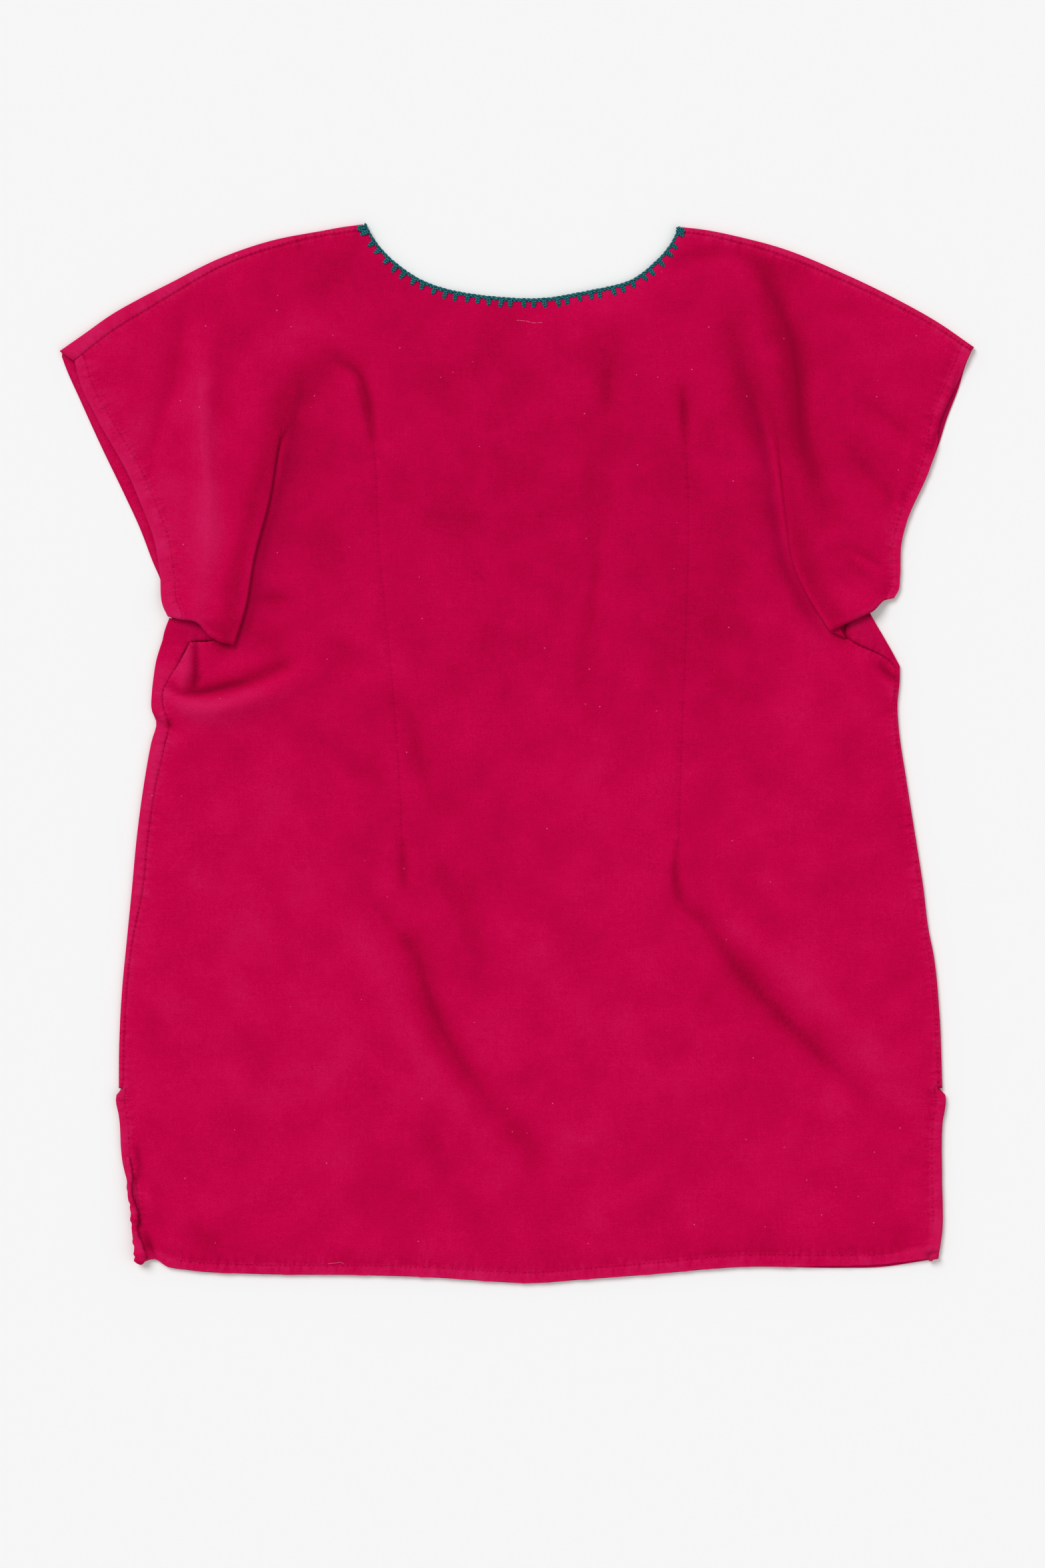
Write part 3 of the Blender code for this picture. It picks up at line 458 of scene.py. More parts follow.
def patch(left, right, bottom, top):
    """A grid of points, a row from each point of left to one of right, that fits all four borders."""
    across = length_fractions(top)[None, :, None]
    up = length_fractions(left)[:, None, None]
    left, right = left[:, None], right[:, None]
    bottom, top = bottom[None], top[None]
    rows = left * (1 - across) + right * across
    low = bottom - (bottom[:, :1] * (1 - across) + bottom[:, -1:] * across)
    high = top - (top[:, :1] * (1 - across) + top[:, -1:] * across)
    return rows + low * (1 - up) + high * up


def smoothstep(value):
    value = np.clip(value, 0, 1)
    return value * value * (3 - 2 * value)


def bell(distance, half_width):
    return np.exp(-((distance / half_width) ** 2))


def nearest(points, line):
    """Each point's distance to a line of points, and the index along it, with its part of a step."""
    start, step = line[:-1, :2], np.diff(line[:, :2], axis=0)
    offset = points[:, None, :2] - start[None]
    share = np.clip((offset * step).sum(2) / np.maximum((step * step).sum(1), 1e-9), 0, 1)
    distance = np.linalg.norm(offset - share[..., None] * step, axis=2)
    best = distance.argmin(1)
    own = np.arange(len(points))
    return distance[own, best], best + share[own, best]


def valued(index, values):
    """The values that belong to the points of a line, at an index along it."""
    return np.interp(index, np.arange(len(values)), values)


def influence(points, line, strengths, reach):
    """How strongly a line acts on each point: its strength there, falling to 0 at its reach."""
    distance, index = nearest(points, line)
    return valued(index, strengths) * (1 - smoothstep(distance / reach))


def stronger(first, *others):
    for other in others:
        first = np.maximum(first, other)
    return first


def drift(points, size, layer):
    """A smooth uneven value from about -1 to 1 at each point, with waves of this size."""
    return np.array([noise.noise(Vector((x / size, y / size, layer))) for x, y in points[:, :2]])


def ripple(along, period, start):
    """An uneven wave between -1 and 1 along a line, as its stitches draw the cloth up."""
    phase = 2 * np.pi * along / period
    waves = np.sin(phase + start) + 0.8 * np.sin(1.62 * phase + 2.1 * start)
    return (waves + 0.6 * np.sin(0.53 * phase + 0.7 * start)) / 2.4


SIDES = ((ARM_LEFT, SIDE_LEFT), (ARM_RIGHT, SIDE_RIGHT))
SHOULDERS = (SHOULDER_LEFT, SHOULDER_RIGHT)


def seam_lines():
    """Each seam of the back and its strength along it: 0 where it is no higher than the cloth."""
    for arm, side in SIDES:
        yield evenly(arm, 4)[:, 2:4], np.linspace(0, 1, 5)
        yield evenly(side, 30)[:, 2:4], np.ones(31)
    for shoulder in SHOULDERS:
        yield evenly(shoulder, 24)[:, 2:4], np.ones(25)


def pleat_lines():
    """The inner fold of each underarm pleat, and its fullness along it."""
    for table, side in ((PLEAT_LEFT, -1), (PLEAT_RIGHT, 1)):
        rows = evenly(table, 24)
        inner = rows[:, :2] + np.outer(rows[:, 2], (side, 0))
        yield inner, rows[:, 3]


def dart_lines():
    """The stitched part of each dart, from its top to its end."""
    for upper, lower in ((DART_LEFT, DART_LOW_LEFT), (DART_RIGHT, DART_LOW_RIGHT)):
        line = np.concatenate([evenly(upper, 80)[::-1], evenly(lower, 80)[1:]])
        yield line[(line[:, 1] < DART_TOP) & (line[:, 1] > DART_END)]


def fold_heights(points, folds):
    """The summed height of soft folds at each point, each fading out towards its ends."""
    height = np.zeros(len(points))
    for half_width, fold_height, line in folds:
        segments = 4 * (len(line) - 1)
        distance, index = nearest(points, evenly(line, segments))
        taper = np.sin(np.pi * np.clip(0.1 + 0.8 * index / segments, 0, 1)) ** 0.7
        height += fold_height * taper * bell(distance, half_width)
    return height


def folds_at(points):
    """Height of the folds and the slow unevenness at each point, over the cloth's puffed level."""
    uneven = 0.6 * drift(points, 46, 1.5) + 0.3 * drift(points, 19, 7.5)
    upper = bell(points[:, 1] - 170, 150)
    uneven += 0.55 * upper * drift(points[:, :2] * (1, 0.2), 13, 11.5)
    slanting = points[:, :2] @ np.array([[0.8, 0.6], [0.6, -0.8]])
    uneven += 0.5 * (1 - upper) * drift(slanting * (0.25, 1), 15, 13.5)
    return np.maximum(PUFF + FOLD_GAIN * fold_heights(points, FOLDS) + uneven, 0)


def band_relief(points):
    """Height of the hems' turned bands, and of the grooves and puckers along their stitches."""
    height = np.zeros(len(points))
    for number, (edge, insets) in enumerate(BANDS):
        line = evenly(edge, 60)
        distance, index = nearest(points, line)
        along = valued(index, reached(line))
        inset = np.interp(index, (0, 30, 60), insets)
        height += BAND_LIFT * (1 - smoothstep((distance - inset + 0.9) / 1.8))
        height -= GROOVE * bell(distance - inset, 1.2)
        height += PUCKER * ripple(along, PUCKER_PERIOD, number) * bell(distance - inset, 5.5)
    return height


def seam_relief(points):
    """Height of the groove and of the puckers along the seams and darts."""
    height = fold_heights(points, CREASES)
    for line in dart_lines():
        distance, _ = nearest(points, line)
        height -= 0.55 * bell(distance, 1.8)
    for number, (line, strength) in enumerate(seam_lines()):
        distance, index = nearest(points, line)
        along = valued(index, reached(line))
        full = valued(index, strength)
        height -= full * SEAM_GROOVE * bell(distance, 1.4)
        height += full * 0.5 * ripple(along, 13, number + 2) * bell(distance - 4, 4.5)
    return height


def sheet_height(points, held):
    """Height of the back at each point, where `held` says how firmly a pleat keeps it down."""
    seams = stronger(*(influence(points, line, strength, SEAM_REACH) for line, strength in seam_lines()))
    edges = (VENT_LEFT, VENT_RIGHT, HEM, BACK_NECK, BACK_CUFF_LEFT, BACK_CUFF_RIGHT)
    free = stronger(*(influence(points, evenly(edge, 24), np.ones(25), HEM_REACH) for edge in edges))
    loose = (1 - held) * (1 - seams) * (1 - 0.8 * free)
    fine = (1 - 0.7 * held) * (seam_relief(points) + band_relief(points))
    level = BACK_LEVEL + folds_at(points) * loose + (SEAM_LEVEL - BACK_LEVEL) * seams + fine
    return np.maximum(level, BACK_LEVEL - 0.4)


def body_height(points):
    held = stronger(*(influence(points, line, full, PLEAT_REACH) for line, full in pleat_lines()))
    return sheet_height(points, held)


def sleeve_height(points, side):
    """Height of the sleeve on one side, which climbs to its pleat and to its lower edge."""
    pleat, full = list(pleat_lines())[side]
    low_edge = evenly((LOW_EDGE_LEFT, LOW_EDGE_RIGHT)[side], 12)
    fading = np.ones(13) if side == 0 else smoothstep(np.linspace(0, 3, 13))
    climb = influence(points, pleat, full, SLEEVE_REACH)
    lap = influence(points, low_edge, LOW_EDGE_LIFT * fading, LOW_EDGE_REACH)
    return sheet_height(points, climb) + PLEAT_LIFT * (1 - (1 - climb) * (1 - lap))


def front_height(points):
    """Height of the front, which lies flat but for its creases and the lift of its neck edging."""
    neck = influence(points, evenly(FRONT_NECK, 40), np.ones(41), 13)
    return FRONT_LEVEL + fold_heights(points, FRONT_FOLDS) + 0.75 * neck


def pleat_section(depth):
    """x and height of a full pleat's section, from the sleeve's layer to the body's; x is 0 at its fold."""
    turn = np.radians(np.linspace(90, -90, TURN_POINTS))
    nose = TURN + NOSE * depth
    outer = np.stack([nose * (np.cos(turn) - 1), TURN * np.sin(turn) + 3 * TURN], 1)
    inner = np.stack([-TURN * np.cos(turn) - TURN - depth, TURN * np.sin(turn) + TURN], 1)
    share = np.arange(LAP_POINTS) / LAP_POINTS
    back = -TURN - depth - 0.5
    start = np.column_stack([back + (-nose - back) * share, np.full(LAP_POINTS, 4 * TURN)])
    lap = between(outer[-1], inner[0], np.arange(1, LAP_POINTS) / LAP_POINTS)
    return np.concatenate([start, outer, lap, inner])


def pleat_grid(table, side, seam, tip_rise):
    """Points of an underarm pleat, a row at a time, from its sleeve side to its body side."""
    rows = evenly(table, SLEEVE_ROWS)
    count = len(pleat_section(0))
    spread = np.linspace(-SLACK_OUT, SLACK_IN, count)
    top_x = rows[-1, 0] + side * spread
    top_rise = np.interp(top_x, seam[:, 0], seam[:, 1]) - GAP - rows[-1, 1]
    upper_layer = LAP_POINTS + (TURN_POINTS + 1) // 2
    points, standing = [], []
    for share, (x, y, depth, full) in zip(np.linspace(0, 1, len(rows)), rows):
        section = pleat_section(depth)
        across = side * (full * section[:, 0] + (1 - full) * spread)
        back_share = np.clip(-section[:, 0] / (depth + 2 * TURN), 0, 1)
        rise = np.where(np.arange(count) < upper_layer, tip_rise[0], tip_rise[1]) * back_share
        rise = rise * (1 - share) ** 6 + top_rise * share
        points.append(np.stack([x + across, y + rise], 1))
        standing.append(BACK_LEVEL + section[:, 1])
    full = np.repeat(rows[:, 3], count)
    faded = sheet_height(np.concatenate(points), full)
    height = full * np.concatenate(standing) + (1 - full) * faded
    return np.column_stack([np.concatenate(points), height]).reshape(len(rows), count, 3)


def with_height(grid, height, *rest):
    flat = grid.reshape(-1, 2)
    return np.column_stack([flat, height(flat, *rest)]).reshape(*grid.shape[:2], 3)


def unit(vectors):
    return vectors / np.linalg.norm(vectors, axis=1)[:, None]


def heading_of(line):
    """The way a line runs at each of its points, in plan."""
    return unit(np.gradient(line[:, :2], axis=0))


def aside(line, distance):
    """The line moved this far to the left of the way it runs, in plan."""
    along = heading_of(line)
    moved = line.copy()
    moved[:, 0] -= distance * along[:, 1]
    moved[:, 1] += distance * along[:, 0]
    return moved


def neck_edge(table, thread, segments):
    """The cloth's edge under the edging whose outer side is in the table."""
    return aside(evenly(table, segments), -(2 * thread + GAP))


def back_upper():
    """Grid of the sleeves and the yoke, from the underarms up."""
    seam_left = evenly(SHOULDER_LEFT, 80)[:, 2:4]
    seam_right = evenly(SHOULDER_RIGHT, 80)[::-1, 2:4]
    pleat_left = pleat_grid(PLEAT_LEFT, 1, seam_left, TIP_RISE_LEFT)
    pleat_right = pleat_grid(PLEAT_RIGHT, -1, seam_right, TIP_RISE_RIGHT)[:, ::-1]

    def on_seam(seam, start, end, fractions):
        x = start + (end - start) * fractions
        return np.column_stack([x, np.interp(x, seam[:, 0], seam[:, 1]) - GAP])

    cuff_left = evenly(BACK_CUFF_LEFT, SLEEVE_ROWS)
    cuff_right = evenly(BACK_CUFF_RIGHT, SLEEVE_ROWS)
    dart_left = evenly(DART_LEFT, SLEEVE_ROWS)
    dart_right = evenly(DART_RIGHT, SLEEVE_ROWS)
    neck = neck_edge(BACK_NECK, THREAD, BACK_NECK_COLUMNS)

    top = on_seam(seam_left, cuff_left[-1, 0], pleat_left[-1, 0, 0], crowded(SLEEVE_COLUMNS, 0.35))
    low = follow(LOW_EDGE_LEFT, length_fractions(top))
    low += np.outer(length_fractions(top), pleat_left[0, 0, :2] - low[-1])
    cuff_left[-1] = top[0]
    sleeve_left = patch(cuff_left, pleat_left[:, 0, :2], low, top)

    flank = crowded(FLANK_COLUMNS, last=0.3)
    top = on_seam(seam_left, pleat_left[-1, -1, 0], dart_left[-1, 0], flank)
    low = between(pleat_left[0, -1, :2], dart_left[0], flank)
    ending = np.linspace(0, 1, SLEEVE_ROWS + 1) ** 3
    dart_left = dart_left + np.outer(ending, top[-1] - dart_left[-1])
    side_left = patch(pleat_left[:, -1, :2], dart_left, low, top)

    near_dart = crowded(7, 0.3)
    shoulder = on_seam(seam_left, dart_left[-1, 0], neck[0, 0] - 1.5, near_dart)
    shoulder_right = on_seam(seam_right, neck[-1, 0] + 1.5, dart_right[-1, 0], 1 - near_dart[::-1])
    dart_right = dart_right + np.outer(ending, shoulder_right[-1] - dart_right[-1])
    top = np.concatenate([shoulder, neck[1:-1], shoulder_right])
    low = dart_left[0] + np.outer(length_fractions(top), dart_right[0] - dart_left[0])
    yoke = patch(dart_left, dart_right, low, top)

    flank = crowded(FLANK_COLUMNS, 0.3)
    top = on_seam(seam_right, dart_right[-1, 0], pleat_right[-1, 0, 0], flank)
    low = between(dart_right[0], pleat_right[0, 0, :2], flank)
    side_right = patch(dart_right, pleat_right[:, 0, :2], low, top)

    outward = crowded(SLEEVE_COLUMNS + 4, last=0.35)
    top = on_seam(seam_right, pleat_right[-1, -1, 0], cuff_right[-1, 0], outward)
    low = follow(LOW_EDGE_RIGHT[::-1], length_fractions(top))
    low += np.outer(1 - length_fractions(top), pleat_right[0, -1, :2] - low[0])
    cuff_right[-1] = top[-1]
    sleeve_right = patch(pleat_right[:, -1, :2], cuff_right, low, top)

    blocks = [
        with_height(sleeve_left, sleeve_height, 0)[:, :-1],
        pleat_left,
        with_height(side_left, body_height)[:, 1:-1],
        with_height(yoke, body_height),
        with_height(side_right, body_height)[:, 1:-1],
        pleat_right,
        with_height(sleeve_right, sleeve_height, 1)[:, 1:],
    ]
    ends = np.cumsum([block.shape[1] for block in blocks])
    first = ends[1] - 1
    dart_columns = (ends[2], ends[3] - 1)
    return np.concatenate(blocks, axis=1), first, ends[4], dart_columns


def hem_at(x):
    """The back's hem at each x, with the small scallops that its stitches draw it into."""
    line = evenly(HEM, 300)
    y = np.interp(x, line[:, 0], line[:, 1])
    ends = np.clip(np.minimum(x - line[0, 0], line[-1, 0] - x) / 12, 0, 1)
    rise, height = np.array(HEM_RISE).T
    y += np.interp(x, rise, height)
    y += 0.3 * ends * (1 + ripple(x, 21, 4)) + 0.12 * ends * ripple(x, 6, 1)
    return np.column_stack([x, y])


def back_lower(top_row, dart_columns):
    """Grid of the body, from the underarms down, in three blocks that meet along the darts."""
    arm_left = aside(evenly(ARM_LEFT, ARM_ROWS)[:, 2:4], -GAP / 2)[::-1]
    arm_right = aside(evenly(ARM_RIGHT, ARM_ROWS)[:, 2:4], -GAP / 2)
    arm_left[-1] = top_row[0, :2]
    arm_right[0] = top_row[-1, :2]
    side_left = aside(down_side(SIDE_LEFT)[:, 2:4], GAP / 2)
    side_right = aside(down_side(SIDE_RIGHT)[:, 2:4], -GAP / 2)
    arm_left[0] = side_left[0]
    arm_left[1:-1, 1] -= 0.6
    arm_right[-1] = side_right[0]
    down = crowded(VENT_ROWS, last=0.3, easing=12)
    left = np.concatenate([side_left, follow(VENT_LEFT, down)[1:]])[::-1]
    right = np.concatenate([side_right, follow(VENT_RIGHT, down)[1:]])[::-1]
    top = np.concatenate([arm_left[:-1], top_row[:, :2], arm_right[1:]])
    up = length_fractions(left)
    cuts = [0, *(ARM_ROWS + column for column in dart_columns), len(top) - 1]
    borders = [left, follow(DART_LOW_LEFT[::-1], up), follow(DART_LOW_RIGHT[::-1], up), right]
    grids = []
    for first, last, west, east in zip(cuts[:-1], cuts[1:], borders[:-1], borders[1:]):
        edge = top[first : last + 1]
        hem = hem_at(west[0, 0] + (east[0, 0] - west[0, 0]) * length_fractions(edge))
        west, east = west.copy(), east.copy()
        west[0], east[0] = hem[0], hem[-1]
        west[-1], east[-1] = edge[0], edge[-1]
        grid = patch(west, east, hem, edge)
        grids.append(grid if first == 0 else grid[:, 1:])
    return with_height(np.concatenate(grids, axis=1), body_height)


class Weave:
    """The points and four-sided faces of one open sheet."""

    def __init__(self):
        self.points = []
        self.faces = []

    def lay(self, grid):
        """Adds a grid of points, and gives their numbers in the same layout."""
        flat = np.reshape(grid, (-1, 3))
        first = len(self.points)
        self.points.extend(flat.tolist())
        return np.arange(first, first + len(flat)).reshape(np.shape(grid)[:-1])

    def join(self, numbers):
        """Faces between the rows of a layout, which run to the right and then up."""
        corners = [numbers[:-1, :-1], numbers[:-1, 1:], numbers[1:, 1:], numbers[1:, :-1]]
        self.faces.extend(np.stack(corners, -1).reshape(-1, 4).tolist())


def build_back():
    weave = Weave()
    upper, first, last, dart_columns = back_upper()
    upper_numbers = weave.lay(upper)
    weave.join(upper_numbers)
    columns = [column - first for column in dart_columns]
    lower = back_lower(upper[0, first : last + 1], columns)
    left, right = ARM_ROWS, ARM_ROWS + last - first
    body = weave.lay(lower[:-1])
    top = np.concatenate(
        [
            weave.lay(lower[-1, :left]),
            upper_numbers[0, first : last + 1],
            weave.lay(lower[-1, right + 1 :]),
        ]
    )
    weave.join(np.vstack([body, top]))
    return weave


def rolled_strip(sections, seam_levels, bows):
    """Rows of points from the flat front, up round the rolled edge and along to the seam."""
    edge, seam = sections[:, :2], sections[:, 2:4]
    width = np.linalg.norm(seam - edge, axis=1)
    inward = (seam - edge) / width[:, None]
    sideways = np.stack([-inward[:, 1], inward[:, 0]], 1)
    turn = np.radians(np.linspace(0, 180, 9))
    insets = [WALL / 2 + ROLL * (1 - np.sin(angle)) + 0 * width for angle in turn]
    heights = [FRONT_LEVEL + ROLL * (1 - np.cos(angle)) + 0 * width for angle in turn]
    offsets = [0 * width for angle in turn]
    end = width + SEAM_LAP
    along = reached(seam)
    for share in np.arange(1, 7) / 6:
        insets.append(ROLL_REACH * (1 - share) + end * share)
        level = SEAM_LEVEL * (1 - share) + seam_levels * share
        swell = 0.4 * np.sin(np.pi * share) * (1 + ripple(along, 9, 3))
        heights.append(level + swell - SEAM_LAP * (share == 1))
        offsets.append(bows * np.sin(np.pi * share))
    columns = [
        np.column_stack([edge + inward * inset[:, None] + sideways * offset[:, None], height])
        for inset, height, offset in zip(insets, heights, offsets)
    ]
    return np.stack(columns, 1)


def down_side(table):
    """The rows down a side seam, closer together near the underarm."""
    return follow(table, crowded(SIDE_ROWS, 0.4, easing=28))


def side_strip(arm, side, bow_side):
    sections = np.concatenate([evenly(arm, ARM_ROWS)[:, :4], down_side(side)[1:]])
    rising = np.linspace(0, 1, ARM_ROWS + 1)
    levels = np.concatenate([rising, np.ones(SIDE_ROWS)])
    levels = BACK_LEVEL + (SEAM_LEVEL - BACK_LEVEL) * levels
    bows = np.zeros(len(levels))
    bows[: ARM_ROWS + 1] = evenly(arm, ARM_ROWS)[:, 4] * bow_side
    return rolled_strip(sections, levels, bows)


def build_front():
    """The flat front, and its four rolled edges."""
    weave = Weave()
    left_strip = side_strip(ARM_LEFT, SIDE_LEFT, 1)
    right_strip = side_strip(ARM_RIGHT, SIDE_RIGHT, -1)
    level = np.full(SHOULDER_COLUMNS + 1, SEAM_LEVEL)
    shoulders = [
        rolled_strip(evenly(table, SHOULDER_COLUMNS), level, 0 * level)
        for table in SHOULDERS
    ]
    neck = neck_edge(FRONT_NECK, THIN_THREAD, FRONT_NECK_COLUMNS)

    down = crowded(VENT_ROWS, last=0.3, easing=12)
    left = np.concatenate([left_strip[:, 0, :2], follow(VENT_LEFT, down)[1:]])[::-1]
    right = np.concatenate([right_strip[:, 0, :2], follow(VENT_RIGHT, down)[1:]])[::-1]
    shoulder_left = shoulders[0][:, 0, :2]
    shoulder_right = shoulders[1][::-1, 0, :2]
    cuff_left = evenly(FRONT_CUFF_LEFT, CUFF_ROWS)
    cuff_right = evenly(FRONT_CUFF_RIGHT, CUFF_ROWS)
    cuff_left[0], cuff_left[-1] = left[-1], shoulder_left[0]
    cuff_right[-1] = shoulder_right[-1]
    top = np.concatenate([shoulder_left, neck[1:-1], shoulder_right])
    armpit = follow(LOW_EDGE_RIGHT[::-1], np.linspace(0.45, 1, ARMPIT_COLUMNS + 1))
    armpit[0] = right[-1]
    armpit[-1] = cuff_right[0]
    level_columns = len(top) - ARMPIT_COLUMNS
    base = between(left[-1], right[-1], np.linspace(0, 1, level_columns))
    base = np.concatenate([base, armpit[1:]])
    upper = patch(cuff_left, cuff_right, base, top)
    upper[0] = base
    upper_numbers = weave.lay(with_height(upper, front_height))
    weave.join(upper_numbers)

    base = base[:level_columns]
    hem = follow(HEM, length_fractions(base))
    lower = patch(left, right, hem, base)[:-1]
    body = weave.lay(with_height(lower, front_height))
    lower_numbers = np.vstack([body, upper_numbers[0, : len(base)]])
    weave.join(lower_numbers)

    start = VENT_ROWS
    for strip, column, turned in ((left_strip, 0, True), (right_strip, -1, False)):
        own = lower_numbers[start:, column][:, None]
        numbers = np.hstack([own, weave.lay(strip[::-1, 1:])])
        weave.join(numbers[:, ::-1] if turned else numbers)
    numbers = np.vstack([upper_numbers[-1, : SHOULDER_COLUMNS + 1], weave.lay(shoulders[0][:, 1:]).T])
    weave.join(numbers)
    numbers = np.vstack(
        [upper_numbers[-1, -SHOULDER_COLUMNS - 1 :], weave.lay(shoulders[1][::-1, 1:]).T]
    )
    weave.join(numbers)
    return weave


SEWN_REACH = 12.0  # how far a seam's puckers are told from the cloth round them
LEFT_SEAM_END = (-193, 73)  # where the left underarm's seam goes under the pleat
FRONT_BANDS = [(HEM, (6, 7, 9)), (FRONT_CUFF_LEFT, (9, 9, 9)), (FRONT_CUFF_RIGHT, (8, 8, 8))]


def nearest_of(points, lines):
    """The least distance, less its own inset, of each point to any of the lines, and the place along it."""
    best = np.full(len(points), 1000.0)
    place = np.zeros(len(points))
    for line, insets in lines:
        distance, index = nearest(points, line)
        distance = distance - valued(index, insets)
        place = np.where(distance < best, valued(index, reached(line)), place)
        best = np.minimum(distance, best)
    return np.clip(best, -SEWN_REACH, SEWN_REACH), place


def band_line(edge, insets, way=1):
    """Points along a hem's edge, and how far in from it the stitches are at each."""
    return evenly(edge, 60)[::way], np.interp(np.arange(61), (0, 30, 60), insets)[::way]


def seam_marks(points, strips):
    """Each point's distance to the nearest seam, and its place along it."""
    lines = []
    for arm, side in SIDES:
        line = np.concatenate([evenly(arm, 12)[:, 2:4], evenly(side, 60)[1:, 2:4]])
        lines.append((line, np.zeros(len(line))))
    for shoulder in SHOULDERS:
        lines.append((evenly(shoulder, 40)[:, 2:4], np.zeros(41)))
    distance, along = nearest_of(points, lines)
    if not strips:
        for arm in (ARM_LEFT, ARM_RIGHT):
            seam = np.array(arm)[:, 2:4]
            seam = seam[np.argsort(seam[:, 0])]
            under = np.interp(points[:, 0], seam[:, 0], seam[:, 1], left=-1000, right=-1000)
            if arm is ARM_LEFT:
                under[points[:, 0] > LEFT_SEAM_END[0]] = LEFT_SEAM_END[1]
            above = (points[:, 1] > under + 1.2) & (points[:, 1] < 100) & (under > -1000)
            distance = np.where(above, SEWN_REACH, distance)
    return distance, along


def hem_marks(points, strips):
    """Each point's distance to the nearest hem's stitches, below 0 in the hem, and its place along it."""
    hem, cuff_left, cuff_right = (FRONT_BANDS if strips else BANDS)[:3]
    parts = [band_line(*VENT_BANDS[0]), band_line(*hem), band_line(*VENT_BANDS[1], -1)]
    skirt = [np.concatenate([part[i] for part in parts]) for i in (0, 1)]
    distance, along = nearest_of(points, [skirt, band_line(*cuff_left), band_line(*cuff_right)])
    if strips:
        distance = np.where(points[:, 2] > FRONT_LEVEL + 0.5, SEWN_REACH, distance)
    return distance, along


def corner_fade(points):
    """0 at the hem's two corners, where its stitches turn, and 1 away from them."""
    fade = np.ones(len(points))
    for x, y in (HEM[0], HEM[-1]):
        fade *= smoothstep((np.hypot(points[:, 0] - x, points[:, 1] - y) - 12) / 16)
    return fade


def dart_marks(points):
    """Each point's distance to the nearest dart's stitches."""
    distance = [nearest(points, line)[0] for line in dart_lines()]
    return np.minimum(np.minimum(*distance), SEWN_REACH)


def painted_crease_shade(points):
    """How much painted shade each point has, from 0 to 1, down in a crease whose walls nearly meet."""
    depth = np.zeros(len(points))
    for half_width, strength, line in DEEP_CREASES:
        segments = 6 * (len(line) - 1)
        distance, index = nearest(points, evenly(line, segments))
        taper = np.sin(np.pi * (0.08 + 0.84 * index / segments)) ** 0.5
        depth += strength * bell(distance, half_width) * taper
    return np.clip(depth, 0, 0.8)


def back_wear_and_shade(points):
    """How far the dye has faded at each point of the back, from about -0.8 where it is fullest to 1, with
    painted shade in the troughs of folds and creases and beside the pleats.
    """
    patches = 0.5 + 0.5 * drift(points, 9, 3.5)
    # Ridges of the folds and creases are paler from wear; their troughs are darker, which is painted shade
    wear_and_shade = 0.26 * np.clip(fold_heights(points, FOLDS), -2, 1.2)
    wear_and_shade += 0.3 * np.clip(fold_heights(points, CREASES), -2, 1)
    wear_and_shade += 0.16 * drift(points, 60, 4.5) + 0.12 * drift(points, 17, 9.5)
    for x, y, wide, high, strength in DYE_AND_SHADE_CLOUDS:
        wear_and_shade += strength * bell(points[:, 0] - x, wide) * bell(points[:, 1] - y, high)
    for half_width, strength, line in WORN_STREAKS:
        distance, index = nearest(points, evenly(line, 24))
        taper = np.sin(np.pi * index / 24) ** 0.6
        wear_and_shade += strength * (0.35 + 0.65 * patches) * bell(distance, half_width) * taper
    # Painted shade on the body beside each pleat's fold
    for line, full in pleat_lines():
        distance, index = nearest(points, line)
        wear_and_shade -= 0.5 * valued(index, full) * bell(distance, 8)
    for edge, insets in BANDS:
        distance, index = nearest(points, evenly(edge, 60))
        inset = np.interp(index, (0, 30, 60), insets)
        wear_and_shade += (1 - smoothstep((distance - inset) / 2.5)) * (0.6 * patches + 0.08)
        wear_and_shade += 0.5 * np.exp(-distance / 0.9)
    for line, strength in seam_lines():
        distance, index = nearest(points, line)
        wear_and_shade += valued(index, strength) * bell(distance, 3.2) * (0.1 + 0.5 * patches)
    for table in (PLEAT_LEFT, PLEAT_RIGHT):
        rows = evenly(table, 30)
        distance, index = nearest(points, rows)
        wear_and_shade += 0.55 * valued(index, rows[:, 3]) * bell(distance, 2.2)
    for edge in (LOW_EDGE_LEFT, LOW_EDGE_RIGHT):
        distance, _ = nearest(points, evenly(edge, 12))
        wear_and_shade += 0.5 * bell(distance, 2)
    distance, _ = nearest(points, evenly(BACK_NECK, 60))
    return wear_and_shade + bell(distance - 4, 3) * (0.1 + 0.4 * patches)


def front_wear_and_shade(points):
    """How far the dye has faded on the front: most where it rolls round onto the back, and less near the
    underarms, as painted shade under the sleeves.
    """
    patches = 0.5 + 0.5 * drift(points, 8, 5.5)
    rolled = smoothstep((points[:, 2] - FRONT_LEVEL - 0.9) / 2)
    edges = stronger(*(
        bell(nearest(points, evenly(edge, 40))[0], 5)
        for edge in (FRONT_CUFF_LEFT, FRONT_CUFF_RIGHT, VENT_LEFT, VENT_RIGHT, HEM)
    ))
    # Painted shade under the sleeves: the rolled edges fade less near the underarms
    underarm = bell(points[:, 1] - 74, 26)
    return rolled * (0.25 + 0.7 * patches) * (1 - 0.9 * underarm) + (1 - rolled) * 0.4 * edges


# What each point of a sheet is told about the lines near it; the first mark holds faded dye with painted
# shade, and the depth mark holds the painted shade of deep creases
MARKS = ("wear_and_shade", "seam", "seam_along", "hem", "hem_along", "dart", "depth", "sewn")


def put(name, mesh, material):
    """A new smooth piece of this mesh and material."""
    mesh.shade_smooth()
    mesh.materials.append(material)
    piece = bpy.data.objects.new(name, mesh)
    bpy.context.scene.collection.objects.link(piece)
    return piece


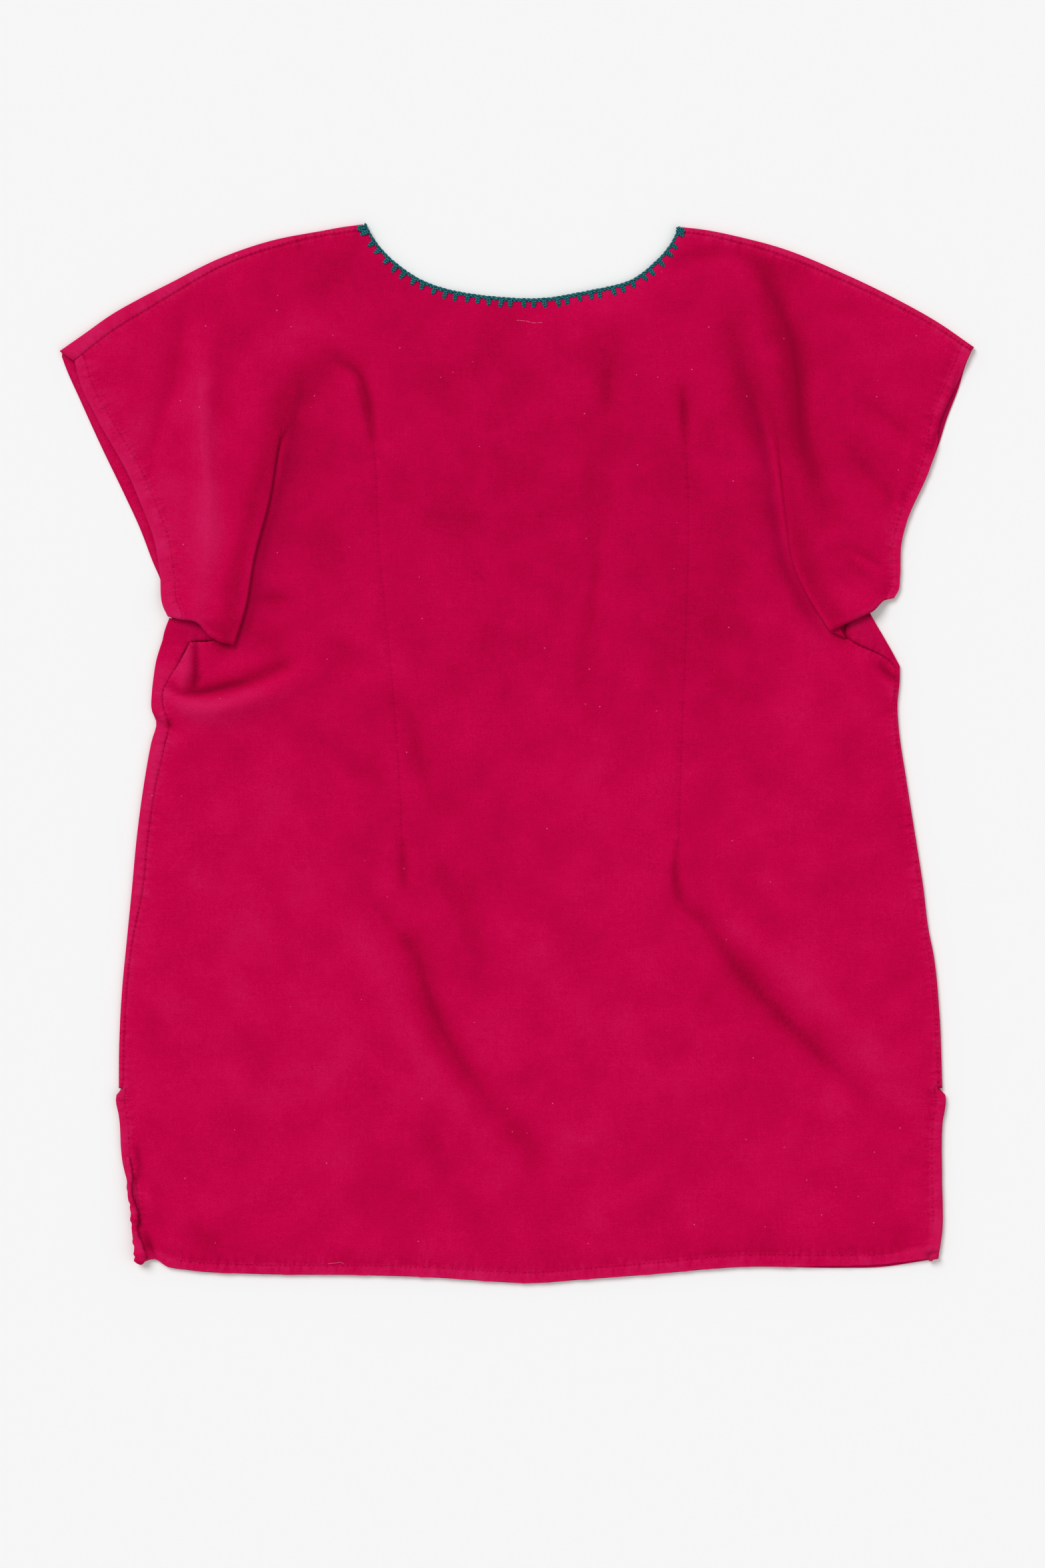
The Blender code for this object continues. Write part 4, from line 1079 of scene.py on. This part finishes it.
def make_sheet(name, weave, wear_and_shade, material, thickness):
    """A piece of cloth as its middle surface, with its faded dye and painted shade and its seams at each
    point, thickened.
    """
    points = np.array(weave.points)
    mesh = bpy.data.meshes.new(name)
    mesh.from_pydata((points * MM).tolist(), [], weave.faces)
    strips = name == "front_cloth"
    lines = *seam_marks(points, strips), *hem_marks(points, strips)
    marks = wear_and_shade(points), *lines, dart_marks(points), painted_crease_shade(points), corner_fade(points)
    for label, values in zip(MARKS, marks):
        mesh.attributes.new(label, "FLOAT", "POINT").data.foreach_set("value", values)
    sheet = put(name, mesh, material)
    wall = sheet.modifiers.new("Wall", "SOLIDIFY")
    wall.thickness = thickness * MM
    wall.offset = 0
    return sheet


class Strands:
    """Round threads that are joined into one mesh, with the length and the turn of each as its UV map."""

    def __init__(self, sides):
        self.sides = sides
        self.points, self.faces, self.uv = [], [], []

    def add(self, path, radii, closed=False):
        """Adds a thread along a path, with a radius at each of its points."""
        path = np.array(path, float)
        tangent = unit(np.roll(path, -1, 0) - np.roll(path, 1, 0) if closed else np.gradient(path, axis=0))
        flat = np.cross(tangent, UP)
        flat[np.linalg.norm(flat, axis=1) < 0.05] = (1, 0, 0)
        flat = unit(flat)
        upright = np.cross(flat, tangent)
        first, count, sides = len(self.points), len(path), self.sides
        angle = np.linspace(0, 2 * np.pi, sides, endpoint=False)
        ring = flat[:, None] * np.cos(angle)[:, None] + upright[:, None] * np.sin(angle)[:, None]
        rings = path[:, None] + ring * np.reshape(radii, (-1, 1, 1))
        self.points.extend(rings.reshape(-1, 3).tolist())
        steps = np.linalg.norm(np.diff(path, axis=0, append=path[:1]), axis=1)
        ends = np.cumsum(steps)
        for i in range(count if closed else count - 1):
            here, there = first + i * sides, first + (i + 1) % count * sides
            start, end = ends[i] - steps[i], ends[i]
            for side in range(sides):
                after = (side + 1) % sides
                self.faces.append([here + side, here + after, there + after, there + side])
                turn, next_turn = side / sides, (side + 1) / sides
                self.uv.extend([(start, turn), (start, next_turn), (end, next_turn), (end, turn)])
        if not closed:
            for start, order in ((first, -1), (first + (count - 1) * sides, 1)):
                self.faces.append(list(range(start, start + sides))[::order])
                self.uv.extend([(0, 0)] * sides)

    def make(self, name, material):
        mesh = bpy.data.meshes.new(name)
        mesh.from_pydata((np.array(self.points) * MM).tolist(), [], self.faces)
        mesh.uv_layers.new(name="thread").data.foreach_set("uv", np.ravel(self.uv))
        return put(name, mesh, material)


SPIRAL_START = -80  # degrees
SPIRAL_TURN = -400  # degrees
ROLLED_CLOTH = 0.6  # thickness of the rolled edges


def add_roll(weave, table, segments):
    """Adds an edge of the cloth that is rolled up onto the back in a spiral."""
    rows = evenly(table, segments)
    along = heading_of(rows)
    inward = np.stack([-along[:, 1], along[:, 0]], 1)
    turn = np.linspace(0, 1, 22)
    angle = np.radians(SPIRAL_START + SPIRAL_TURN * turn)
    radius = rows[:, 2] * (1 + 0.14 * ripple(reached(rows), 7, 2))
    lumps = 1 + 0.12 * np.sin(3 * angle + 0.9 * reached(rows)[:, None])
    reach = radius[:, None] * (1 - 0.42 * turn) * lumps
    plan = rows[:, None, :2] + inward[:, None] * (reach * np.cos(angle))[..., None]
    base = body_height(rows[:, :2])
    height = np.minimum(base, BACK_LEVEL + 1.2) + 0.5 + ROLL_FLATNESS * radius
    level = height[:, None] + ROLL_FLATNESS * reach * np.sin(angle)
    weave.join(weave.lay(np.concatenate([plan, level[..., None]], 2)))


def roll_wear(points):
    """How far the dye has faded on the rolled edges."""
    return 0.5 + 0.7 * drift(points, 5, 2.5)


def make_vent_roll(material):
    """The left vent's rolled edge, which ends at the hem's corner, and the small roll at the right corner."""
    weave = Weave()
    add_roll(weave, VENT_ROLL, 56)
    add_roll(weave, CORNER_ROLL, 16)
    return make_sheet("vent_roll", weave, roll_wear, material, ROLLED_CLOTH)


def edging_path():
    """The middle of the edging's purl all round the neck, and its radius at each point."""
    swell = np.sin(np.pi * np.linspace(0, 1, 61)) ** 0.5
    radius = THIN_THREAD + (THREAD - THIN_THREAD) * swell
    cloth = neck_edge(BACK_NECK, THREAD, 60)
    outward = aside(cloth, 1) - cloth
    back = cloth + outward * (0.8 * radius)[:, None]
    back = np.column_stack([back, body_height(cloth), radius])
    cloth = neck_edge(FRONT_NECK, THIN_THREAD, 80)
    front = aside(cloth, THIN_THREAD + GAP)[-2:0:-1]
    low = THIN_THREAD + PURL_LIFT
    front = np.column_stack([front, np.full(len(front), low), np.full(len(front), THIN_THREAD)])
    ends = []
    for x, y, _, _ in (back[-1], back[0]):
        over = [(y + 1.2, SEAM_LEVEL - 0.4), (y + 1.8, BACK_LEVEL), (y + 1.2, low + 0.4)]
        ends.append([(x, turn_y, turn_z, THIN_THREAD) for turn_y, turn_z in over])
    return np.concatenate([back, ends[0], front, ends[1][::-1]])


PURL_STEP = 0.7
PURL_PITCH = 6.4
PURL_LIFT = 0.22  # keeps the purl along the front neck off the surface below
LEG_SPACING = 7.2
LEG_MARGIN = 3.0  # from each end of the edge to its first leg
LEG_LENGTH = 4.3
LEG_SPREAD = 0.72
LEG_SLANT = 0.14


# Along one strand of a leg: part of its length, sideways place, radius and height over the cloth
LEG_SHARE = np.array([-0.3, -0.05, 0.2, 0.45, 0.7, 0.9, 1.0])
LEG_WIDTH = np.array([0.5, 0.8, 1, 0.95, 0.7, 0.4, 0.1]) * LEG_SPREAD
LEG_THICK = np.array([0.66, 0.74, 0.8, 0.8, 0.72, 0.55, 0.35])
LEG_OVER = np.array([0.55, 0.6, 0.5, 0.45, 0.35, 0.05, -0.5])

# Loops over the ends of the shoulder seams: x and y of the middle, and the way each points
END_LOOPS = [(-97.2, 338.2, -1), (102.0, 336.8, 1)]
LOOP_LENGTH = 5.5
LOOP_WIDTH = 1.7


def resample(path, step):
    """The closed path with a point every step or so of its length."""
    ring = np.vstack([path, path[:1]])
    lengths = np.concatenate([[0], np.cumsum(np.linalg.norm(np.diff(ring[:, :3], axis=0), axis=1))])
    at = np.linspace(0, lengths[-1], int(lengths[-1] / step), endpoint=False)
    return np.column_stack([np.interp(at, lengths, column) for column in ring.T]), lengths[-1]


def make_edging(material):
    """Blanket stitch: a purl of two strands twisted along the neck's edge, and a leg at each stitch."""
    threads = Strands(8)
    path, length = resample(edging_path(), PURL_STEP)
    centre, radius = path[:, :3], path[:, 3]
    tangent = unit(np.roll(centre, -1, 0) - np.roll(centre, 1, 0))
    side = unit(np.cross(tangent, UP))
    up = np.cross(side, tangent)
    turns = round(length / PURL_PITCH)
    around = 2 * np.pi * turns * np.arange(len(path)) / len(path)
    wobble = 1 + 0.12 * ripple(np.arange(len(path)) * PURL_STEP, 11, 2)
    for start in (0, np.pi):
        out = side * np.cos(around + start)[:, None] + up * np.sin(around + start)[:, None]
        threads.add(centre + out * (0.42 * radius)[:, None], 0.72 * radius * wobble, closed=True)
    for table, thread, height, top in (
        (BACK_NECK, THREAD, body_height, 1),
        (FRONT_NECK, THIN_THREAD, front_height, -1),
    ):
        edge = neck_edge(table, thread, 400)
        inward = aside(edge, -1) - edge
        total = reached(edge)
        count = int((total[-1] - 2 * LEG_MARGIN) / LEG_SPACING)
        for number in range(count + 1):
            uneven = np.sin(number * 2.4), np.sin(number * 4.1 + 1), np.sin(number * 1.3 + 2)
            at = LEG_MARGIN + (total[-1] - 2 * LEG_MARGIN) * number / count + 0.7 * uneven[0]
            place = int(np.searchsorted(total, at))
            along = np.array([inward[place, 1], -inward[place, 0]])
            heading = inward[place] + along * LEG_SLANT * uneven[1]
            heading /= np.linalg.norm(heading)
            across = np.array([heading[1], -heading[0]])
            long = LEG_LENGTH + 0.5 * uneven[2]
            for hand in (-1, 1):
                plan = edge[place] + np.outer(LEG_SHARE * long, heading) + np.outer(hand * LEG_WIDTH, across)
                level = height(np.maximum(LEG_SHARE, 0.05)[:, None] * long * heading + edge[place])
                thick = LEG_THICK * (1 if top == 1 else 0.7)
                lift = CLOTH / 2 + LEG_OVER
                if top < 0:
                    lift = np.minimum(lift, level - thick - 0.02)
                threads.add(np.column_stack([plan, level + top * lift]), thick)
    for x, y, way in END_LOOPS:
        share = np.linspace(0, np.pi, 15)
        out = x + way * (0.8 + (LOOP_LENGTH - 0.8) * np.sin(share))
        level = SEAM_LEVEL + CLOTH / 2 - 0.3 + 1.1 * np.sin(share) ** 0.6
        threads.add(np.column_stack([out, y + LOOP_WIDTH * np.cos(share), level]), np.full(15, 0.72))
        inner = np.linspace(0.1, 0.9, 7)
        rise = SEAM_LEVEL + CLOTH / 2 - 0.2 + 0.9 * np.sin(np.pi * inner)
        threads.add(np.column_stack([x + way * LOOP_LENGTH * inner, y + 0.2 * inner, rise]), np.full(7, 0.66))
    return threads.make("neck_stitching", material)


STITCH = np.array([-0.5, -0.42, -0.2, 0.1, 0.38, 0.5])
STITCH_LIFT = np.array([-0.5, -0.04, 0.05, 0.05, -0.04, -0.5])


def sew(threads, line, pitch, long, thick, height, lift=CLOTH / 2, above=1):
    """Running stitches along a line, each rising out of the cloth and diving back into it."""
    total = reached(line)
    along = heading_of(line)
    centres = np.arange(pitch, total[-1] - pitch / 2, pitch)
    uneven = np.sin(np.arange(len(centres)) * 2.9)
    centres = centres + 0.14 * pitch * uneven
    plans = []
    for number, at in enumerate(centres):
        middle = [np.interp(at, total, line[:, i]) for i in (0, 1)]
        heading = np.array([np.interp(at, total, along[:, i]) for i in (0, 1)])
        across = np.array([-heading[1], heading[0]]) * 0.12 * np.sin(number * 5.1)
        size = long * (1 + 0.2 * np.sin(number * 1.7))
        plans.append(np.array(middle) + np.outer(STITCH * size, heading) + np.outer(STITCH * 2, across))
    levels = height(np.concatenate(plans)).reshape(len(plans), -1)
    radii = thick * np.array([0.6, 0.9, 1, 1, 0.9, 0.6])
    for plan, level in zip(plans, levels):
        threads.add(np.column_stack([plan, level + above * (lift + STITCH_LIFT)]), radii)


def inset_line(edge, insets, side, start=0.0, end=1.0):
    """A line inside an edge, at the distances of its stitches."""
    share = np.linspace(start, end, 120)
    line = follow(edge, share)
    along = heading_of(line)
    distance = side * np.interp(share, (0, 0.5, 1), insets)
    return line + np.column_stack([-along[:, 1] * distance, along[:, 0] * distance])


def on_front(points):
    """Height of the front's rolled edge beside a shoulder seam."""
    return np.full(len(points), SEAM_LEVEL + 0.1)


def make_hem_stitches(material):
    threads = Strands(6)
    hem, cuff_left, cuff_right, vent_left, vent_right = BANDS
    line = inset_line(*hem, 1, 0.03, 0.975)
    sew(threads, line, 2.9, 1.7, 0.16, body_height)
    on_left, on_right = partial(sleeve_height, side=0), partial(sleeve_height, side=1)
    sew(threads, inset_line(*cuff_left, -1, 0.05, 0.99), 3.1, 1.8, 0.16, on_left)
    sew(threads, inset_line(*cuff_right, 1, 0.03, 0.99), 3.1, 1.8, 0.16, on_right)
    sew(threads, inset_line(*vent_left, 1, 0.02, 0.55), 3.3, 1.6, 0.18, body_height)
    sew(threads, inset_line(*vent_right, -1, 0.02, 0.93), 3.3, 1.6, 0.18, body_height)
    for table, inner, height in ((SHOULDER_LEFT, -1, on_left), (SHOULDER_RIGHT, 1, on_right)):
        seam = evenly(table, 80)[2:-1, 2:4]
        sew(threads, aside(seam, inner * 2.4), 2.7, 1.5, 0.14, height)
        sew(threads, aside(seam, -inner * 1.9), 2.7, 1.5, 0.14, on_front)
    return threads.make("hem_stitches", material)


LABEL_STITCHES = [(-1.3, 279.1), (5.2, 278.6), (10.3, 277.4), (17.6, 277.8)]
LOOSE_END = [(-124.3, -330.2), (-120.8, -328.9), (-116.5, -328.5), (-113.5, -328.1), (-111.8, -329.4)]


def make_label_stitches(material):
    """The line of small stitches below the neck, and a loose end of thread at the hem."""
    threads = Strands(6)
    sew(threads, evenly(LABEL_STITCHES, 30), 1.9, 1.6, 0.22, body_height)
    loose = evenly(LOOSE_END, 24)
    height = body_height(loose) + CLOTH / 2 + 0.1 + 0.25 * np.sin(np.pi * np.linspace(0, 1, 25))
    threads.add(np.column_stack([loose, height]), np.full(25, 0.2))
    return threads.make("loose_threads", material)


class Field:
    """A value or a colour over a surface, made by shader nodes, that can be added to and multiplied."""

    def __init__(self, tree, socket):
        self.tree, self.socket = tree, socket

    def math(self, operation, other=0.0, clamp=False):
        return node(self.tree, "ShaderNodeMath", {0: self, 1: other}, operation=operation, use_clamp=clamp)

    def __add__(self, other):
        return self.math("ADD", other)

    def __sub__(self, other):
        return self.math("SUBTRACT", other)

    def __mul__(self, other):
        return self.math("MULTIPLY", other)

    def clamped(self, gain):
        return self.math("MULTIPLY", gain, clamp=True)


def node(tree, kind, inputs, output=0, **settings):
    """One output of a new shader node, with its settings and with its inputs set or linked to fields."""
    made = tree.nodes.new(kind)
    for name, value in settings.items():
        setattr(made, name, value)
    for key, value in inputs.items():
        if isinstance(value, Field):
            tree.links.new(value.socket, made.inputs[key])
        else:
            made.inputs[key].default_value = value
    return Field(tree, made.outputs[output])


def new_material(name, inputs):
    """A material, its node tree, and a way to link fields to its shader, whose other inputs are set here."""
    material = bpy.data.materials.new(name)
    material.use_nodes = True
    tree = material.node_tree
    shader = tree.nodes["Principled BSDF"]
    for key, value in inputs.items():
        shader.inputs[key].default_value = value

    def finish(**fields):
        for key, field in fields.items():
            tree.links.new(field.socket, shader.inputs[key.replace("_", " ")])
        return material

    return tree, finish


def mixed(tree, factor, first, second):
    return node(tree, "ShaderNodeMix", {0: factor, 6: first, 7: second}, output=2, data_type="RGBA")


def grain(tree, place, scale, detail=2.0, stretch=(1.0, 1.0, 1.0)):
    """Noise over the place in millimetres, finer with a larger scale, and stretched where asked."""
    spread = node(tree, "ShaderNodeVectorMath", {0: place, 1: stretch}, operation="MULTIPLY")
    inputs = {"Vector": spread, "Scale": scale, "Detail": detail, "Roughness": 0.6}
    return node(tree, "ShaderNodeTexNoise", inputs)


def bumped(tree, height, distance, strength, **under):
    inputs = {"Strength": strength, "Distance": distance * MM, "Height": height}
    return node(tree, "ShaderNodeBump", inputs | under)


def place_in_mm(tree):
    place = node(tree, "ShaderNodeTexCoord", {}, output="Object")
    return node(tree, "ShaderNodeVectorMath", {0: place, "Scale": 1 / MM}, operation="SCALE")


def hump(distance, half_width):
    """1 on a line and less beside it, as the bell does."""
    part = distance * (1 / half_width)
    return (part * part * -1.0).math("EXPONENT")


STITCH_STEP = 3.1
PIT_WIDTH = 0.55  # half width of the pits of stitches


def stitched(tree, distance, along, reach):
    """The pits of stitches along a line, and the puckers beside it, which fade out at this reach."""
    stitch = (along * (2 * np.pi / STITCH_STEP)).math("SINE")
    pits = hump(distance, PIT_WIDTH) * (stitch * 0.35 + 0.65)
    place = node(tree, "ShaderNodeCombineXYZ", {0: along * 0.33, 1: distance * 0.09})
    waves = node(tree, "ShaderNodeTexNoise", {"Vector": place, "Scale": 1.0, "Detail": 2})
    return pits, (waves - 0.5) * hump(distance, reach)


THREAD_PITCH = 0.55
WAVE_SCALE = 0.3142  # scale of a wave texture whose waves are 1 wide
# DEEP is the fuller dye, and also the colour that painted shade in the troughs reaches
DEEP = (0.34, 0.0004, 0.03, 1)
CRIMSON = (0.545, 0.0006, 0.06, 1)
WORN = (0.61, 0.012, 0.105, 1)
LINT = (0.80, 0.17, 0.27, 1)
# Colour of the painted shade down in deep creases
SHADED = (0.10, 0.0, 0.012, 1)
SPECK_SIZE = 0.034


def cotton_material():
    """Plain-weave cotton, with slubs, clouded dye that is paler where it is worn, painted shade in creases,
    troughs and stitch pits, and specks of lint.
    """
    tree, finish = new_material(
        "crimson_cotton",
        {
            "Specular IOR Level": 0.02,
            "Sheen Weight": 0.07,
            "Sheen Roughness": 0.45,
            "Sheen Tint": (1.0, 0.06, 0.25, 1),
        },
    )
    place = place_in_mm(tree)
    wear_and_shade, seam, seam_along, hem, hem_along, dart, depth, sewn = (
        node(tree, "ShaderNodeAttribute", {}, output="Fac", attribute_name=label) for label in MARKS
    )
    cloud = grain(tree, place, 0.03, 3)
    mottle = grain(tree, place, 0.32, 4)
    fuzz = grain(tree, place, 1.5, 3)
    slubs = grain(tree, place, 1.5, 2, (1, 0.05, 1)) + grain(tree, place, 1.5, 2, (0.05, 1, 1))
    down = node(tree, "ShaderNodeSeparateXYZ", {0: place}, output=1)
    seam_pits, seam_pucker = stitched(tree, seam, seam_along, 5.0)
    hem_pits, hem_pucker = stitched(tree, hem, hem_along, 5.5)
    dart_pits, dart_pucker = stitched(tree, dart, down, 3.2)
    pits = seam_pits + hem_pits * sewn * 0.8 + dart_pits * 0.4
    drawn_up = seam_pucker + hem_pucker * sewn + dart_pucker * 0.6
    weave = {
        "Vector": place,
        "Scale": WAVE_SCALE / THREAD_PITCH,
        "Distortion": 1.2,
        "Detail": 1,
        "Detail Scale": 2,
    }
    warp, weft = (
        node(tree, "ShaderNodeTexWave", weave, output="Fac", bands_direction=way) for way in "XY"
    )

    tone = cloud * 1.1 + mottle * 0.4 + slubs * 0.4 + fuzz * 2.0 - 2.2
    # The faded-dye mark also carries painted shade; stitch pits are painted darker as painted shade, and the
    # puckers paler on their crowns and darker in their hollows as painted light and shade
    tone = tone + wear_and_shade + drawn_up * 1.6 - pits * 0.8
    colour = mixed(tree, tone.clamped(-1.0), CRIMSON, DEEP)
    colour = mixed(tree, tone.clamped(0.85), colour, WORN)
    specks = {"Vector": place, "Scale": 0.085}
    near = node(tree, "ShaderNodeTexVoronoi", specks, output="Distance").math("LESS_THAN", SPECK_SIZE)
    which = node(tree, "ShaderNodeTexVoronoi", specks, output="Color")
    chosen = node(tree, "ShaderNodeSeparateColor", {0: which}).math("GREATER_THAN", 0.45)
    colour = mixed(tree, near * chosen * 0.55, colour, LINT)
    # Painted shade down in deep creases
    colour = mixed(tree, depth, colour, SHADED)

    threads = bumped(tree, warp * weft * 0.5 + slubs * 0.6 + mottle * 0.5, 0.16, 0.5)
    relief = bumped(tree, drawn_up * 1.5 - pits * 0.35, 1.0, 1.0, Normal=threads)
    return finish(Base_Color=colour, Normal=relief, Roughness=fuzz * 0.16 + 0.8)


def thread_material(name, dark, middle, light, ply):
    """Twisted thread: slanting plies painted paler on their crowns and darker in their grooves, as painted
    light and shade, and pale flecks of loose fibre.
    """
    tree, finish = new_material(name, {"Specular IOR Level": 0.12})
    uv = node(tree, "ShaderNodeUVMap", {}, uv_map="thread")
    length, around = (node(tree, "ShaderNodeSeparateXYZ", {0: uv}, output=i) for i in (0, 1))
    turns = length * (1 / ply) + around * 2.0
    ridge = (turns * (2 * np.pi)).math("SINE") * 0.5 + 0.5
    place = place_in_mm(tree)
    fibre = grain(tree, place, 2.2, 3)
    # The ply ridge paints crowns paler and grooves darker: painted light and shade
    tone = fibre * 1.3 + grain(tree, place, 0.5, 2) * 0.8 + ridge * 0.9 - 1.5
    colour = mixed(tree, tone.clamped(-1.5), middle, dark)
    colour = mixed(tree, tone.clamped(1.5), colour, light)
    fibres = bumped(tree, fibre * 0.5 + ridge, 0.15, 0.7)
    return finish(Base_Color=colour, Normal=fibres, Roughness=fibre * 0.25 + 0.4)


PAPER = (0.90, 0.90, 0.90, 1)
PALER_PAPER = (0.915, 0.915, 0.915, 1)

# Lights: name, where each shines from, softness in degrees, power
SUNS = [("key", (-0.8, 1.0, 1.5), 30, 1.85), ("fill", (1.0, -0.6, 1.5), 60, 0.5)]
AMBIENT = 0.445


def make_studio():
    """A pale floor, even soft light from above, and the camera straight over the blouse."""
    floor_mesh = bpy.data.meshes.new("floor")
    corners = [(x * FLOOR, y * FLOOR, 0) for x, y in ((-1, -1), (1, -1), (1, 1), (-1, 1))]
    floor_mesh.from_pydata(corners, [], [[0, 1, 2, 3]])
    floor = bpy.data.objects.new("floor", floor_mesh)
    bpy.context.scene.collection.objects.link(floor)
    floor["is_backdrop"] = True
    tree, finish = new_material("pale_paper", {"Roughness": 0.9, "Specular IOR Level": 0.1})
    tooth = grain(tree, place_in_mm(tree), 0.8, 3)
    floor_mesh.materials.append(finish(Base_Color=mixed(tree, tooth, PAPER, PALER_PAPER)))

    scene = bpy.context.scene
    scene.view_settings.view_transform = "Standard"
    world = bpy.data.worlds.new("studio")
    world.use_nodes = True
    sky = world.node_tree.nodes["Background"]
    sky.inputs[0].default_value = (1, 1, 1, 1)
    sky.inputs[1].default_value = AMBIENT
    scene.world = world
    for name, place, softness, power in SUNS:
        light = bpy.data.lights.new(name, "SUN")
        light.angle = np.radians(softness)
        light.energy = power
        lamp = bpy.data.objects.new(name, light)
        lamp.location = place
        lamp.rotation_mode = "QUATERNION"
        lamp.rotation_quaternion = (-Vector(place)).to_track_quat("-Z", "Y")
        scene.collection.objects.link(lamp)

    lens = bpy.data.cameras.new("camera")
    lens.lens = LENS
    lens.sensor_width = FILM
    camera = bpy.data.objects.new("camera", lens)
    distance = VIEW_HEIGHT * LENS / FILM
    camera.location = (VIEW_CENTRE[0] * MM, VIEW_CENTRE[1] * MM, (BACK_LEVEL + distance) * MM)
    scene.collection.objects.link(camera)
    scene.camera = camera


cotton = cotton_material()
teal = thread_material(
    "teal_thread", (0.0, 0.018, 0.028, 1), (0.001, 0.085, 0.105, 1), (0.03, 0.3, 0.32, 1), 1.5
)
sewing = thread_material(
    "crimson_thread", (0.4, 0.0, 0.04, 1), (0.6, 0.008, 0.075, 1), (0.78, 0.06, 0.15, 1), 0.9
)
pink = thread_material(
    "pink_thread", (0.6, 0.02, 0.1, 1), (0.78, 0.07, 0.2, 1), (0.9, 0.2, 0.35, 1), 0.9
)

front = make_sheet("front_cloth", build_front(), front_wear_and_shade, cotton, CLOTH)
back = make_sheet("back_cloth", build_back(), back_wear_and_shade, cotton, CLOTH)
edging = make_edging(teal)
hem_stitches = make_hem_stitches(sewing)
loose_threads = make_label_stitches(pink)
vent_roll = make_vent_roll(cotton)
make_studio()

for piece, node_name in ((front, "front_panel"), (back, "back_panel"), (edging, "neck_edging")):
    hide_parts(node_name)
for piece, slot_name in (
    (front, "cloth"),
    (back, "cloth"),
    (edging, "thread"),
    (hem_stitches, "cloth"),
    (loose_threads, "cloth"),
    (vent_roll, "cloth"),
):
    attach(piece, "root")

[[list(corner) for corner in box] for box in (cad_box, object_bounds())]
